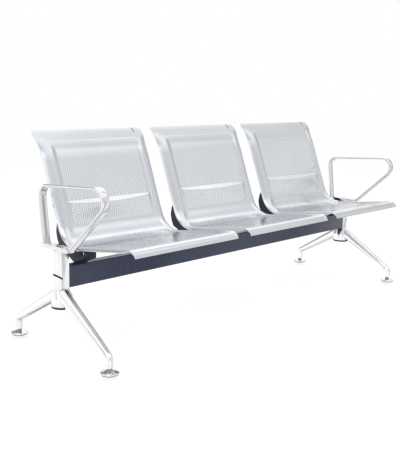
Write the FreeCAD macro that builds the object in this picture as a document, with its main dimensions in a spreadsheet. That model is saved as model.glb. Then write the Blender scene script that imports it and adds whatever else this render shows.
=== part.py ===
import FreeCAD, Part
import Sketcher
import math
import os

# Three-seat beam bench, millimetres, +Z up, seats facing -Y, floor at Z = 0.
# Places along Y are given from the beam's own centre line, which stands at beam_axis_y.

SIZES = {
    # Beam that carries the seats
    "beam_overhang": 28.0,
    "beam_height": 80.0,
    "beam_depth": 40.0,
    "beam_wall": 2.5,
    "beam_corner": 4.0,
    "beam_axis_y": 20.0,
    "beam_underside": 238.0,
    "end_plate_thickness": 8.0,
    "beam_bolt_radius": 5.0,
    "beam_bolt_spacing": 40.0,
    "beam_bolt_head": 6.4,
    "beam_bolt_flats": 17.0,
    # Columns at the beam's ends
    "column_flat": 31.0,
    "column_height": 141.0,
    "column_wall": 5.0,
    "top_plate_thickness": 8.0,
    "trim_thickness": 6.0,
    "trim_depth": 2.5,
    "trim_slope": 34.0,
    "trim_middle_height": 42.0,
    # Hubs under the columns
    "hub_gap": 2.0,
    "hub_radius": 39.0,
    "hub_inset": 17.0,
    "hub_straight": 32.0,
    "hub_taper": 30.0,
    "hub_bore": 26.0,
    "hub_throat": 14.0,
    "plug_thickness": 8.0,
    "plug_spigot": 10.0,
    "fit_gap": 0.1,
    # Legs
    "leg_offset": 29.0,
    "leg_width": 30.0,
    "leg_edge": 7.0,
    "boss_depth": 28.0,
    "boss_underside": 24.0,
    "front_reach": 283.0,
    "rear_reach": 266.0,
    "front_crown": 25.0,
    "rear_crown": 28.0,
    "front_shoulder": 64.0,
    "rear_shoulder": 74.0,
    "leg_root_reach": 45.0,
    "leg_root_drop": 4.0,
    "front_arch": 60.6,
    "rear_arch": 55.5,
    "shoulder_radius": 35.0,
    "arch_radius": 10.0,
    # Levelling feet
    "stud_radius": 5.0,
    "stud_bottom": 7.0,
    "stud_length": 54.0,
    "stud_tip_gap": 2.0,
    "running_gap": 0.05,
    "locknut_flats": 17.0,
    "locknut_thickness": 5.0,
    "pad_radius": 33.0,
    "pad_edge_height": 8.5,
    "pad_collar_radius": 9.0,
    "pad_collar_gap": 1.5,
    "pad_shoulder_height": 13.5,
    "pad_shoulder_radius": 16.0,
    "base_radius": 31.5,
    "base_thickness": 2.5,
    # Armrests
    "arm_width": 33.0,
    "arm_thickness": 12.0,
    "arm_side_flat": 1.0,
    "arm_base_height": 15.0,
    "arm_base_rear": 88.0,
    "arm_base_front": 68.0,
    "upright_foot": 74.0,
    "upright_head": 102.0,
    "arm_rear_rise": 221.0,
    "arm_nose": 344.0,
    "arm_front_rise": 252.0,
    "strut_foot": 63.0,
    "arm_rear_radius": 44.0,
    "arm_front_radius": 45.0,
    "arm_bolt_radius": 4.0,
    "arm_bolt_spacing": 19.0,
    "arm_bolt_head": 8.0,
    "arm_bolt_socket": 6.0,
    # Seat shells
    "seat_width": 520.0,
    "seat_gap": 66.0,
    "sheet_thickness": 2.0,
    "lip_radius": 30.0,
    "lip_turn": 90.0,
    "lip_front": 339.2,
    "lip_rise": 73.9,
    "lip_corner": 16.0,
    "pan_slope": 8.0,
    "pan_flat": 275.0,
    "bend_radius": 95.0,
    "bend_turn": 76.7,
    "back_flat": 250.3,
    "crown_radius": 246.0,
    "crown_turn": 30.4,
    "bolster_rise": 6.0,
    "bolster_width": 30.0,
    "hem_radius": 4.5,
    # Seat brackets
    "bracket_inset": 22.0,
    "bracket_thickness": 5.0,
    "bracket_round": 15.0,
    "bracket_flange": 30.0,
    "flange_thickness": 4.0,
    "bracket_front": 108.0,
    "bracket_front_drop": 30.0,
    "bracket_hole_radius": 5.0,
    "bracket_hole_forward": 37.0,
    "bracket_hole_drop": 17.0,
    "bracket_bolt_inset": 17.0,
    "bracket_bolt_forward": 7.0,
    "bracket_bolt_radius": 4.0,
    "bracket_bolt_flats": 13.0,
    "bracket_bolt_head": 5.3,
    "bracket_nut_thickness": 6.5,
    "seat_stud_radius": 3.0,
    "seat_nut_flats": 10.0,
    "seat_nut_thickness": 5.0,
    "bolt_gap": 0.3,
}

# The rear edge of a seat bracket, from the beam up to the back of the shell:
# distance behind the beam's centre line and height above the beam's top face.
BRACKET_REAR_EDGE = (
    ("bracket_heel", 84.0, 39.0),
    ("bracket_heel_turn", 109.0, 50.0),
    ("bracket_rear", 120.0, 74.0),
    ("bracket_rear_turn", 125.0, 97.0),
    ("bracket_tip", 120.0, 128.0),
    ("bracket_end", 90.0, 180.0),
)

SIDES = {"L": -1, "R": 1}
SEATS = {"1": -1, "2": 0, "3": 1}


class Dim:
    """A size that is known both as a number and as the expression that gives it."""

    def __init__(self, value, text):
        self.value = value
        self.text = text

    def __add__(self, other):
        other = dim(other)
        return Dim(self.value + other.value, f"({self.text} + {other.text})")

    def __sub__(self, other):
        other = dim(other)
        return Dim(self.value - other.value, f"({self.text} - {other.text})")

    def __mul__(self, other):
        other = dim(other)
        return Dim(self.value * other.value, f"({self.text} * {other.text})")

    def __truediv__(self, other):
        other = dim(other)
        return Dim(self.value / other.value, f"({self.text} / {other.text})")

    def __neg__(self):
        return Dim(-self.value, f"(0 - {self.text})")


def dim(number):
    """Give a plain number the same form as a size of the sheet."""
    if isinstance(number, Dim):
        return number
    return Dim(float(number), f"({float(number)})")


class Sheet:
    """The driving sizes, read by name as Dim objects."""

    def __init__(self, document):
        self.cells = document.addObject("Spreadsheet::Sheet", "Sizes")
        self.row = 0

    def put(self, name, value):
        self.row += 1
        self.cells.set(f"A{self.row}", name)
        self.cells.set(f"B{self.row}", str(value))
        self.cells.setAlias(f"B{self.row}", name)

    def __getattr__(self, name):
        return Dim(float(self.cells.get(name)), f"Sizes.{name}")


doc = FreeCAD.newDocument("beam_seating")
size = Sheet(doc)
for size_name, size_value in SIZES.items():
    size.put(size_name, size_value)
for point_name, behind, above in BRACKET_REAR_EDGE:
    size.put(f"{point_name}_behind", behind)
    size.put(f"{point_name}_above", above)
doc.recompute()

nodes = []


def bind(thing, path, value):
    """Drive one property of an object by a size."""
    thing.setExpression(path, dim(value).text)


def place(thing, x=0.0, y=0.0, z=0.0):
    """Drive the place of an object by sizes."""
    bind(thing, "Placement.Base.x", x)
    bind(thing, "Placement.Base.y", y)
    bind(thing, "Placement.Base.z", z)
    return thing


def keep(thing, label):
    """Name a finished piece and put it on the list that is written out."""
    thing.Label = label
    nodes.append(thing)
    return thing


# Primitives and booleans


def box(name, low, high):
    """A box between two corners, each given as three sizes."""
    solid = doc.addObject("Part::Box", name)
    bind(solid, "Length", dim(high[0]) - low[0])
    bind(solid, "Width", dim(high[1]) - low[1])
    bind(solid, "Height", dim(high[2]) - low[2])
    return place(solid, *low)


def cylinder(name, radius, height, x, y, z, along="Z"):
    """A cylinder from a start point along +Z or along +X."""
    solid = doc.addObject("Part::Cylinder", name)
    if along == "X":
        solid.Placement.Rotation = FreeCAD.Rotation(FreeCAD.Vector(0, 1, 0), 90)
    bind(solid, "Radius", radius)
    bind(solid, "Height", height)
    return place(solid, x, y, z)


def hexagon(name, flats, height, x, y, z, along="Z"):
    """A hexagonal prism given by its size across the flats."""
    solid = doc.addObject("Part::Prism", name)
    if along == "X":
        solid.Placement.Rotation = FreeCAD.Rotation(FreeCAD.Vector(0, 1, 0), 90)
    solid.Polygon = 6
    bind(solid, "Circumradius", dim(flats) / math.sqrt(3.0))
    bind(solid, "Height", height)
    return place(solid, x, y, z)


def fuse(name, *solids):
    joined = doc.addObject("Part::MultiFuse", name)
    joined.Shapes = list(solids)
    joined.Refine = True
    return joined


def cut(name, base, *tools):
    tool = tools[0] if len(tools) == 1 else fuse(f"{name}_tools", *tools)
    result = doc.addObject("Part::Cut", name)
    result.Base = base
    result.Tool = tool
    return result


def common(name, base, tool):
    result = doc.addObject("Part::Common", name)
    result.Base = base
    result.Tool = tool
    return result


def group(label, *solids):
    """Several separate solids that share one node."""
    together = doc.addObject("Part::Compound", label)
    together.Links = list(solids)
    return keep(together, label)


# Sketches and the features made from them


def new_body(label):
    body = doc.addObject("PartDesign::Body", label)
    body.Label = label
    return body


def new_sketch(body, role, name, lift=0.0):
    """A sketch on one of the body's own origin planes, lifted along its normal."""
    plane = next(o for o in body.Origin.OriginFeatures if o.Role == role)
    sketch = body.newObject("Sketcher::SketchObject", name)
    sketch.AttachmentSupport = [(plane, "")]
    sketch.MapMode = "FlatFace"
    bind(sketch, "AttachmentOffset.Base.z", lift)
    return sketch


def pin_point(sketch, geometry, corner, u, v):
    """Drive a point of a sketch by its two coordinates."""
    for kind, axis, value in (("DistanceX", -2, dim(u)), ("DistanceY", -1, dim(v))):
        if value.value == 0.0:
            sketch.addConstraint(Sketcher.Constraint("PointOnObject", geometry, corner, axis))
            continue
        index = sketch.addConstraint(
            Sketcher.Constraint(kind, -1, 1, geometry, corner, value.value)
        )
        sketch.setExpression(f"Constraints[{index}]", value.text)


def draw_polygon(sketch, corners):
    """A closed outline of straight lines through corners given as pairs of sizes."""
    points = [FreeCAD.Vector(dim(u).value, dim(v).value, 0) for u, v in corners]
    count = len(points)
    for i, point in enumerate(points):
        sketch.addGeometry(Part.LineSegment(point, points[(i + 1) % count]), False)
    for i in range(count):
        sketch.addConstraint(Sketcher.Constraint("Coincident", i, 2, (i + 1) % count, 1))
    for i, (u, v) in enumerate(corners):
        pin_point(sketch, i, 1, u, v)


def draw_circle(sketch, u, v, radius):
    centre = FreeCAD.Vector(dim(u).value, dim(v).value, 0)
    circle = Part.Circle(centre, FreeCAD.Vector(0, 0, 1), dim(radius).value)
    geometry = sketch.addGeometry(circle, False)
    pin_point(sketch, geometry, 3, u, v)
    index = sketch.addConstraint(Sketcher.Constraint("Radius", geometry, dim(radius).value))
    sketch.setExpression(f"Constraints[{index}]", dim(radius).text)


def pad(body, sketch, length, name="Pad"):
    feature = body.newObject("PartDesign::Pad", name)
    feature.Profile = sketch
    bind(feature, "Length", length)
    doc.recompute()
    return feature


def pocket(body, sketch, length, name="Pocket"):
    """A pocket that must take something away."""
    before = body.Shape.Volume
    feature = body.newObject("PartDesign::Pocket", name)
    feature.Profile = sketch
    bind(feature, "Length", length)
    doc.recompute()
    if not body.Shape.Volume < before:
        raise RuntimeError(f"{body.Label}: {name} takes nothing away")
    return feature


def fillet(body, radius, choose, name="Fillet"):
    """Round the edges of the body's last feature that a test picks out."""
    last = body.Tip
    names = [f"Edge{i + 1}" for i, edge in enumerate(last.Shape.Edges) if choose(edge)]
    feature = body.newObject("PartDesign::Fillet", name)
    feature.Base = (last, names)
    bind(feature, "Radius", radius)
    doc.recompute()
    return feature


def runs_along(edge, axis):
    """Whether an edge is a straight line along one axis, numbered 0 to 2."""
    if edge.Curve.TypeId != "Part::GeomLine":
        return False
    direction = edge.tangentAt(edge.FirstParameter)
    return abs(abs(direction[axis]) - 1.0) < 1e-6


def passes_near(edge, first, second, axes):
    """Whether an edge's middle lies at two given coordinates."""
    middle = edge.CenterOfMass
    return math.hypot(middle[axes[0]] - first, middle[axes[1]] - second) < 0.5


def revolve_profile(label, corners, x, y, name="Revolution"):
    """A turned piece: an outline of radii and heights spun about a vertical axis."""
    body = new_body(label)
    sketch = new_sketch(body, "XZ_Plane", f"{label}_profile")
    draw_polygon(sketch, corners)
    feature = body.newObject("PartDesign::Revolution", name)
    feature.Profile = sketch
    feature.ReferenceAxis = (sketch, ["V_Axis"])
    feature.Angle = 360.0
    doc.recompute()
    return place(body, x, y, 0.0)


# Places that several pieces share

seat_pitch = size.seat_width + size.seat_gap
beam_end = seat_pitch + size.seat_width / 2 + size.beam_overhang
beam_top = size.beam_underside + size.beam_height
lip_height = beam_top + size.lip_rise
bracket_reach = size.seat_width / 2 - size.bracket_inset
column_radius = size.beam_depth / 2
hub_top = size.beam_underside - size.hub_gap
hub_waist = hub_top - size.hub_taper
hub_underside = hub_waist - size.hub_straight
column_top = hub_top + size.column_height
leg_plane = beam_end + size.leg_offset
stud_top = size.stud_bottom + size.stud_length
arm_head_depth = size.arm_bolt_head


def mirrored(side, low, high):
    """The span between two distances from the middle, on the side asked for."""
    if side > 0:
        return dim(low), dim(high)
    return -dim(high), -dim(low)


# Beam, its end plates and the bolts that hold the columns


def seat_centre(index):
    return seat_pitch * index


def bracket_places():
    """Every bracket: seat name, side letter, direction away from the seat's middle."""
    for seat, index in SEATS.items():
        for letter, side in SIDES.items():
            yield seat, letter, side, seat_centre(index) + bracket_reach * side


def bracket_bolt_x(centre, side):
    return centre - size.bracket_bolt_inset * side


bracket_bolt_y = size.beam_axis_y - size.bracket_bolt_forward


def make_beam():
    body = new_body("beam")
    half = size.beam_depth / 2
    outer = new_sketch(body, "YZ_Plane", "beam_outline", -beam_end)
    draw_polygon(outer, [
        (size.beam_axis_y - half, size.beam_underside),
        (size.beam_axis_y + half, size.beam_underside),
        (size.beam_axis_y + half, beam_top),
        (size.beam_axis_y - half, beam_top),
    ])
    pad(body, outer, beam_end * 2)
    fillet(body, size.beam_corner, lambda edge: runs_along(edge, 0))
    inner = new_sketch(body, "YZ_Plane", "beam_bore", beam_end)
    draw_polygon(inner, [
        (size.beam_axis_y - half + size.beam_wall, size.beam_underside + size.beam_wall),
        (size.beam_axis_y + half - size.beam_wall, size.beam_underside + size.beam_wall),
        (size.beam_axis_y + half - size.beam_wall, beam_top - size.beam_wall),
        (size.beam_axis_y - half + size.beam_wall, beam_top - size.beam_wall),
    ])
    pocket(body, inner, beam_end * 2, "Bore")
    holes = new_sketch(body, "XY_Plane", "beam_holes", beam_top)
    for _, _, side, centre in bracket_places():
        x = bracket_bolt_x(centre, side)
        draw_circle(holes, x, bracket_bolt_y, size.bracket_bolt_radius + size.bolt_gap)
    pocket(body, holes, size.beam_wall, "BoltHoles")
    keep(body, "beam")


def beam_bolt_heights():
    middle = size.beam_underside + size.beam_height / 2
    return middle - size.beam_bolt_spacing / 2, middle + size.beam_bolt_spacing / 2


def make_end_plate(letter, side):
    """The plate welded into the end of the beam, with the threaded holes for two bolts."""
    name = f"beam_end_plate_{letter}"
    half = size.beam_depth / 2 - size.beam_wall
    near, far = mirrored(side, beam_end - size.end_plate_thickness, beam_end)
    blank = box(
        f"{name}_blank",
        (near, size.beam_axis_y - half, size.beam_underside + size.beam_wall),
        (far, size.beam_axis_y + half, beam_top - size.beam_wall),
    )
    radius = size.beam_bolt_radius + size.bolt_gap
    holes = [
        cylinder(f"{name}_hole", radius, size.end_plate_thickness, near, size.beam_axis_y, z, "X")
        for z in beam_bolt_heights()
    ]
    keep(cut(name, blank, *holes), name)


def make_beam_bolts(letter, side):
    """Hexagon bolts from inside the column into the beam's end plate."""
    name = f"beam_end_bolts_{letter}"
    bolts = []
    inner_wall = beam_end + size.column_wall
    tip = beam_end - size.end_plate_thickness
    shank_low, shank_high = mirrored(side, tip, inner_wall)
    head_low, _ = mirrored(side, inner_wall, inner_wall + size.beam_bolt_head)
    for z in beam_bolt_heights():
        shank = cylinder(
            f"{name}_shank", size.beam_bolt_radius, shank_high - shank_low,
            shank_low, size.beam_axis_y, z, "X",
        )
        head = hexagon(
            f"{name}_head", size.beam_bolt_flats, size.beam_bolt_head,
            head_low, size.beam_axis_y, z, "X",
        )
        bolts.append(fuse(f"{name}_bolt", shank, head))
    group(name, *bolts)


# Columns


def d_bar(name, side, inset, low, height):
    """An upright bar of D section: flat against the beam's end, round on the outside."""
    near, far = mirrored(side, beam_end + inset, beam_end + size.column_flat)
    radius = column_radius - inset
    flat = box(
        f"{name}_flat",
        (near, size.beam_axis_y - radius, low),
        (far, size.beam_axis_y + radius, low + height),
    )
    centre = (beam_end + size.column_flat) * side
    nose = cylinder(f"{name}_round", radius, height, centre, size.beam_axis_y, low)
    return fuse(name, flat, nose)


def trim_slab(name, side):
    """The slanted slice of the column that the dark trim fills, lower towards the beam."""
    half = column_radius * 2
    slab = doc.addObject("Part::Box", name)
    bind(slab, "Length", half * 2)
    bind(slab, "Width", half * 2)
    bind(slab, "Height", size.trim_thickness)
    slab.Placement.Rotation = FreeCAD.Rotation(FreeCAD.Vector(0, 1, 0), -side * size.trim_slope.value)
    start = leg_plane * side
    if side < 0:
        reach = half.value * 2 * math.cos(math.radians(size.trim_slope.value))
        drop = half.value * 2 * math.sin(math.radians(size.trim_slope.value))
        place(
            slab, start - reach, size.beam_axis_y - half,
            hub_top + size.trim_middle_height - size.trim_thickness + drop,
        )
    else:
        place(
            slab, start, size.beam_axis_y - half,
            hub_top + size.trim_middle_height - size.trim_thickness,
        )
    return slab


def trim_ring(name, side):
    """The outer skin of the column, outboard of the leg plane, that the trim replaces."""
    skin = cut(
        f"{name}_skin",
        d_bar(f"{name}_outer", side, 0.0, hub_top, size.column_height),
        d_bar(f"{name}_inner", side, size.trim_depth, hub_top, size.column_height),
    )
    return common(f"{name}_slice", skin, trim_slab(f"{name}_slab", side))


def make_column(letter, side):
    name = f"column_{letter}"
    blank = d_bar(f"{name}_blank", side, 0.0, hub_top, size.column_height)
    cavity = d_bar(f"{name}_cavity", side, size.column_wall, hub_top, size.column_height)
    near, _ = mirrored(side, beam_end, beam_end + size.column_wall)
    radius = size.beam_bolt_radius + size.bolt_gap
    holes = [
        cylinder(f"{name}_hole", radius, size.column_wall, near, size.beam_axis_y, z, "X")
        for z in beam_bolt_heights()
    ]
    keep(cut(name, blank, cavity, trim_ring(f"{name}_groove", side), *holes), name)


def make_leg_trim(letter, side):
    name = f"leg_trim_{letter}"
    keep(trim_ring(name, side), name)


def arm_bolt_ys():
    half = size.arm_bolt_spacing / 2
    return size.beam_axis_y - half, size.beam_axis_y + half


def make_top_plate(letter, side):
    """The plate welded inside the column's top, threaded for the armrest's bolts."""
    name = f"column_top_plate_{letter}"
    low = column_top - size.top_plate_thickness
    blank = d_bar(f"{name}_blank", side, size.column_wall, low, size.top_plate_thickness)
    radius = size.arm_bolt_radius + size.bolt_gap
    holes = [
        cylinder(f"{name}_hole", radius, size.top_plate_thickness, leg_plane * side, y, low)
        for y in arm_bolt_ys()
    ]
    keep(cut(name, blank, *holes), name)


# Hubs and their plugs


def make_hub_blank(letter, side):
    """The hub's outside: a short drum that narrows into the column's D section."""
    centre = FreeCAD.Vector(hub_centre(side).value, size.beam_axis_y.value, 0)
    drum = Part.makeCylinder(
        size.hub_radius.value, size.hub_straight.value,
        centre + FreeCAD.Vector(0, 0, hub_underside.value),
    )
    flat_x = side * beam_end.value
    round_x = side * (beam_end + size.column_flat).value
    half = column_radius.value
    corners = (
        (flat_x, -half), (round_x, -half), (round_x + side * half, 0.0), (round_x, half), (flat_x, half),
    )
    tops = [FreeCAD.Vector(x, size.beam_axis_y.value + y, hub_top.value) for x, y in corners]
    waist = FreeCAD.Vector(centre.x, centre.y, hub_waist.value)

    def below(top):
        """The drum's rim point in the same direction as a corner of the column."""
        away = FreeCAD.Vector(top.x - waist.x, top.y - waist.y, 0)
        return waist + away.normalize() * size.hub_radius.value

    def rim_arc(first, last):
        return Part.Arc(first, below((first + last) / 2), last).toShape()

    rims = [below(top) for top in tops]
    lower = Part.Wire([rim_arc(rims[i], rims[(i + 1) % 5]) for i in range(5)])
    nose = FreeCAD.Vector(round_x, size.beam_axis_y.value, hub_top.value)

    def nose_arc(first, last):
        middle = (first + last) / 2 - nose
        return Part.Arc(first, nose + middle.normalize() * half, last).toShape()

    upper = Part.Wire([
        Part.LineSegment(tops[0], tops[1]).toShape(),
        nose_arc(tops[1], tops[2]),
        nose_arc(tops[2], tops[3]),
        Part.LineSegment(tops[3], tops[4]).toShape(),
        Part.LineSegment(tops[4], tops[0]).toShape(),
    ])
    neck = Part.makeLoft([lower, upper], True, True)
    blank = doc.addObject("Part::Feature", f"hub_{letter}_blank")
    blank.Shape = drum.fuse(neck).removeSplitter()
    blank.Placement = FreeCAD.Placement()
    return blank


def hub_centre(side):
    return (beam_end + size.hub_inset) * side


def make_hub(letter, side, blank):
    name = f"hub_{letter}"
    bore = cylinder(
        f"{name}_bore", size.hub_bore, size.hub_straight,
        hub_centre(side), size.beam_axis_y, hub_underside,
    )
    throat = cylinder(
        f"{name}_throat", size.hub_throat, size.hub_taper,
        (beam_end + size.column_flat - size.column_wall) * side, size.beam_axis_y, hub_waist,
    )
    keep(cut(name, blank, bore, throat), name)


def make_hub_plug(letter, side):
    """The black cap under the hub, with a spigot that presses into the hub's bore."""
    name = f"hub_plug_{letter}"
    x = hub_centre(side)
    flange = cylinder(
        f"{name}_flange", size.hub_radius, size.plug_thickness,
        x, size.beam_axis_y, hub_underside - size.plug_thickness,
    )
    spigot = cylinder(
        f"{name}_spigot", size.hub_bore - size.fit_gap, size.plug_spigot,
        x, size.beam_axis_y, hub_underside,
    )
    keep(fuse(name, flange, spigot), name)


# Legs


def make_leg(end, letter, side, blank):
    """A leg cast from hub to foot: forward (end = front) or to the rear."""
    name = f"{end}_leg_{letter}"
    way = -1 if end == "front" else 1
    reach = size.front_reach if end == "front" else size.rear_reach
    crown = size.front_crown if end == "front" else size.rear_crown
    shoulder = size.front_shoulder if end == "front" else size.rear_shoulder
    arch = size.front_arch if end == "front" else size.rear_arch
    half_boss = size.boss_depth / 2
    axis = size.beam_axis_y
    outer = axis + (reach + half_boss) * way
    inner = axis + (reach - half_boss) * way
    low, high = mirrored(side, leg_plane - size.leg_width / 2, leg_plane + size.leg_width / 2)

    body = new_body(f"{name}_casting")
    outline = new_sketch(body, "YZ_Plane", f"{name}_outline", low)
    root = hub_underside - size.leg_root_drop
    draw_polygon(outline, [
        (axis, hub_top),
        (axis + crown * way, hub_top),
        (outer, shoulder),
        (outer, size.boss_underside),
        (inner, size.boss_underside),
        (inner, arch),
        (axis + size.leg_root_reach * way, root),
        (axis, root),
    ])
    pad(body, outline, high - low)
    fillet(
        body, size.shoulder_radius,
        lambda e: runs_along(e, 0) and passes_near(e, outer.value, shoulder.value, (1, 2)),
        "Shoulder",
    )
    fillet(
        body, size.arch_radius,
        lambda e: runs_along(e, 0) and passes_near(e, inner.value, arch.value, (1, 2)),
        "Arch",
    )

    def long_edge(edge):
        """An edge of either flank between the hub and the foot's underside."""
        middle = edge.CenterOfMass
        on_flank = min(abs(middle.x - low.value), abs(middle.x - high.value)) < 1e-6
        along = (middle.y - axis.value) * way
        return on_flank and along > crown.value and middle.z > size.boss_underside.value + 1e-6

    fillet(body, size.leg_edge, long_edge, "SoftEdges")

    half_width = size.leg_width / 2
    nose = outer - half_width * way
    near, far = (nose, axis) if way < 0 else (axis, nose)
    straight = box(f"{name}_plan", (low, near, size.boss_underside), (high, far, hub_top))
    rounded = cylinder(
        f"{name}_nose", half_width, hub_top - size.boss_underside,
        leg_plane * side, nose, size.boss_underside,
    )
    shaped = common(f"{name}_shaped", body, fuse(f"{name}_limits", straight, rounded))
    bore_height = stud_top + size.stud_tip_gap - size.boss_underside
    bore = cylinder(
        f"{name}_bore", size.stud_radius + size.running_gap, bore_height,
        leg_plane * side, axis + reach * way, size.boss_underside,
    )
    seat = cylinder(
        f"{name}_seat", size.hub_radius, size.plug_thickness + size.hub_straight,
        hub_centre(side), axis, hub_underside - size.plug_thickness,
    )
    keep(cut(name, shaped, blank, seat, bore), name)


# Levelling feet


def make_foot(end, letter, side):
    """One foot: floor pad in two pieces, threaded stud and the locknut under the leg."""
    name = f"{end}_foot_{letter}"
    way = -1 if end == "front" else 1
    reach = size.front_reach if end == "front" else size.rear_reach
    x = leg_plane * side
    y = size.beam_axis_y + reach * way
    bore = size.stud_radius + size.running_gap
    locknut_low = size.boss_underside - size.locknut_thickness
    collar_top = locknut_low - size.pad_collar_gap

    disc = cylinder(f"{name}_base", size.base_radius, size.base_thickness, x, y, 0.0)
    keep(disc, f"{name}_base")

    cap = revolve_profile(f"{name}_pad", [
        (0.0, size.base_thickness),
        (size.pad_radius, size.base_thickness),
        (size.pad_radius, size.pad_edge_height),
        (size.pad_shoulder_radius, size.pad_shoulder_height),
        (size.pad_collar_radius, collar_top),
        (bore, collar_top),
        (bore, size.stud_bottom - size.running_gap),
        (0.0, size.stud_bottom - size.running_gap),
    ], x, y)
    keep(cap, f"{name}_pad")

    stud = cylinder(f"{name}_stud", size.stud_radius, size.stud_length, x, y, size.stud_bottom)
    keep(stud, f"{name}_stud")

    blank = hexagon(
        f"{name}_locknut_blank", size.locknut_flats, size.locknut_thickness, x, y, locknut_low,
    )
    hole = cylinder(f"{name}_locknut_hole", bore, size.locknut_thickness, x, y, locknut_low)
    keep(cut(f"{name}_locknut", blank, hole), f"{name}_locknut")


# Bars and sheets swept along a run of straights and bends


class Trace:
    """A flat path in the YZ plane, drawn as straights and turns from a start point."""

    def __init__(self, y, z, heading):
        self.y = y
        self.z = z
        self.heading = math.radians(heading)
        self.edges = []

    def point(self):
        return FreeCAD.Vector(0, self.y, self.z)

    def straight(self, length):
        start = self.point()
        self.y += length * math.cos(self.heading)
        self.z += length * math.sin(self.heading)
        self.edges.append(Part.LineSegment(start, self.point()).toShape())

    def turn(self, radius, angle):
        """An arc of a given radius: a positive angle turns left, a negative one right."""
        start = self.point()
        sense = math.copysign(1.0, angle)
        centre_y = self.y - sense * radius * math.sin(self.heading)
        centre_z = self.z + sense * radius * math.cos(self.heading)

        def reached(share):
            heading = self.heading + math.radians(angle) * share
            return FreeCAD.Vector(
                0,
                centre_y + sense * radius * math.sin(heading),
                centre_z - sense * radius * math.cos(heading),
            )

        middle = reached(0.5)
        end = reached(1.0)
        self.heading += math.radians(angle)
        self.y = end.y
        self.z = end.z
        self.edges.append(Part.Arc(start, middle, end).toShape())

    def wire(self):
        return Part.Wire(self.edges)


def sweep(path, section):
    """A solid that carries a closed section along a path, kept upright about the X axis."""
    pipe = Part.BRepOffsetAPI.MakePipeShell(path)
    pipe.setBiNormalMode(FreeCAD.Vector(1, 0, 0))
    pipe.add(section)
    pipe.build()
    pipe.makeSolid()
    return pipe.shape()


def from_shape(name, shape):
    feature = doc.addObject("Part::Feature", name)
    feature.Shape = shape
    feature.Placement = FreeCAD.Placement()
    return feature


# Armrests


def arm_section(start, heading, x):
    """The flat bar's section, a rectangle with rounded edges, square to the path's start."""
    half_width = size.arm_width.value / 2
    half_depth = size.arm_thickness.value / 2
    edge = half_depth - size.arm_side_flat.value / 2
    across = FreeCAD.Vector(0, -math.sin(heading), math.cos(heading))
    wide = FreeCAD.Vector(1, 0, 0)
    origin = start + wide * x

    def at(u, v):
        return origin + wide * u + across * v

    edges = []
    signs = ((1, 1), (-1, 1), (-1, -1), (1, -1))
    ends = []
    for su, sv in signs:
        along_v = at(su * half_width, sv * (half_depth - edge))
        along_u = at(su * (half_width - edge), sv * half_depth)
        slant = edge * (1.0 - math.sqrt(0.5))
        middle = at(su * (half_width - slant), sv * (half_depth - slant))
        first, last = (along_v, along_u) if su * sv > 0 else (along_u, along_v)
        ends.append((first, middle, last))
    for i, (first, middle, last) in enumerate(ends):
        edges.append(Part.Arc(first, middle, last).toShape())
        edges.append(Part.LineSegment(last, ends[(i + 1) % 4][0]).toShape())
    return Part.Wire(edges)


def bend_tangent(radius, turn):
    """How far before a corner an arc of this radius leaves the straight."""
    return radius * math.tan(abs(turn) / 2)


def make_arm(letter, side):
    """The armrest loop: upright, rest and sloping strut in one bent flat bar."""
    name = f"arm_loop_{letter}"
    axis = size.beam_axis_y.value
    low = column_top.value
    base_top = column_top + size.arm_base_height
    corners = (
        (axis + size.upright_foot.value, low),
        (axis + size.upright_head.value, low + size.arm_rear_rise.value),
        (axis - size.arm_nose.value, low + size.arm_front_rise.value),
        (axis - size.strut_foot.value, low),
    )
    headings = [
        math.atan2(z1 - z0, y1 - y0) for (y0, z0), (y1, z1) in zip(corners, corners[1:])
    ]
    lengths = [
        math.hypot(z1 - z0, y1 - y0) for (y0, z0), (y1, z1) in zip(corners, corners[1:])
    ]
    rear_turn = (headings[1] - headings[0]) % (2 * math.pi)
    front_turn = (headings[2] - headings[1]) % (2 * math.pi)
    rear_cut = bend_tangent(size.arm_rear_radius.value, rear_turn)
    front_cut = bend_tangent(size.arm_front_radius.value, front_turn)
    spare = size.arm_thickness.value

    start_y = corners[0][0] - spare * math.cos(headings[0])
    start_z = corners[0][1] - spare * math.sin(headings[0])
    trace = Trace(start_y, start_z, math.degrees(headings[0]))
    trace.straight(lengths[0] + spare - rear_cut)
    trace.turn(size.arm_rear_radius.value, math.degrees(rear_turn))
    trace.straight(lengths[1] - rear_cut - front_cut)
    trace.turn(size.arm_front_radius.value, math.degrees(front_turn))
    trace.straight(lengths[2] + spare - front_cut)

    x = side * leg_plane.value
    path = trace.wire()
    path.translate(FreeCAD.Vector(x, 0, 0))
    section = arm_section(FreeCAD.Vector(0, start_y, start_z), headings[0], x)
    bar = from_shape(f"{name}_bar", sweep(path, section))

    margin = size.arm_width
    near, far = mirrored(side, leg_plane - margin, leg_plane + margin)
    rear = size.beam_axis_y + size.arm_base_rear
    front = size.beam_axis_y - size.arm_base_front
    under = box(f"{name}_floor", (near, front - margin, column_top - margin), (far, rear + margin, column_top))
    over = box(f"{name}_base_space", (near, front, column_top - margin), (far, rear, base_top))
    keep(cut(name, bar, under, over), name)


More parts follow.
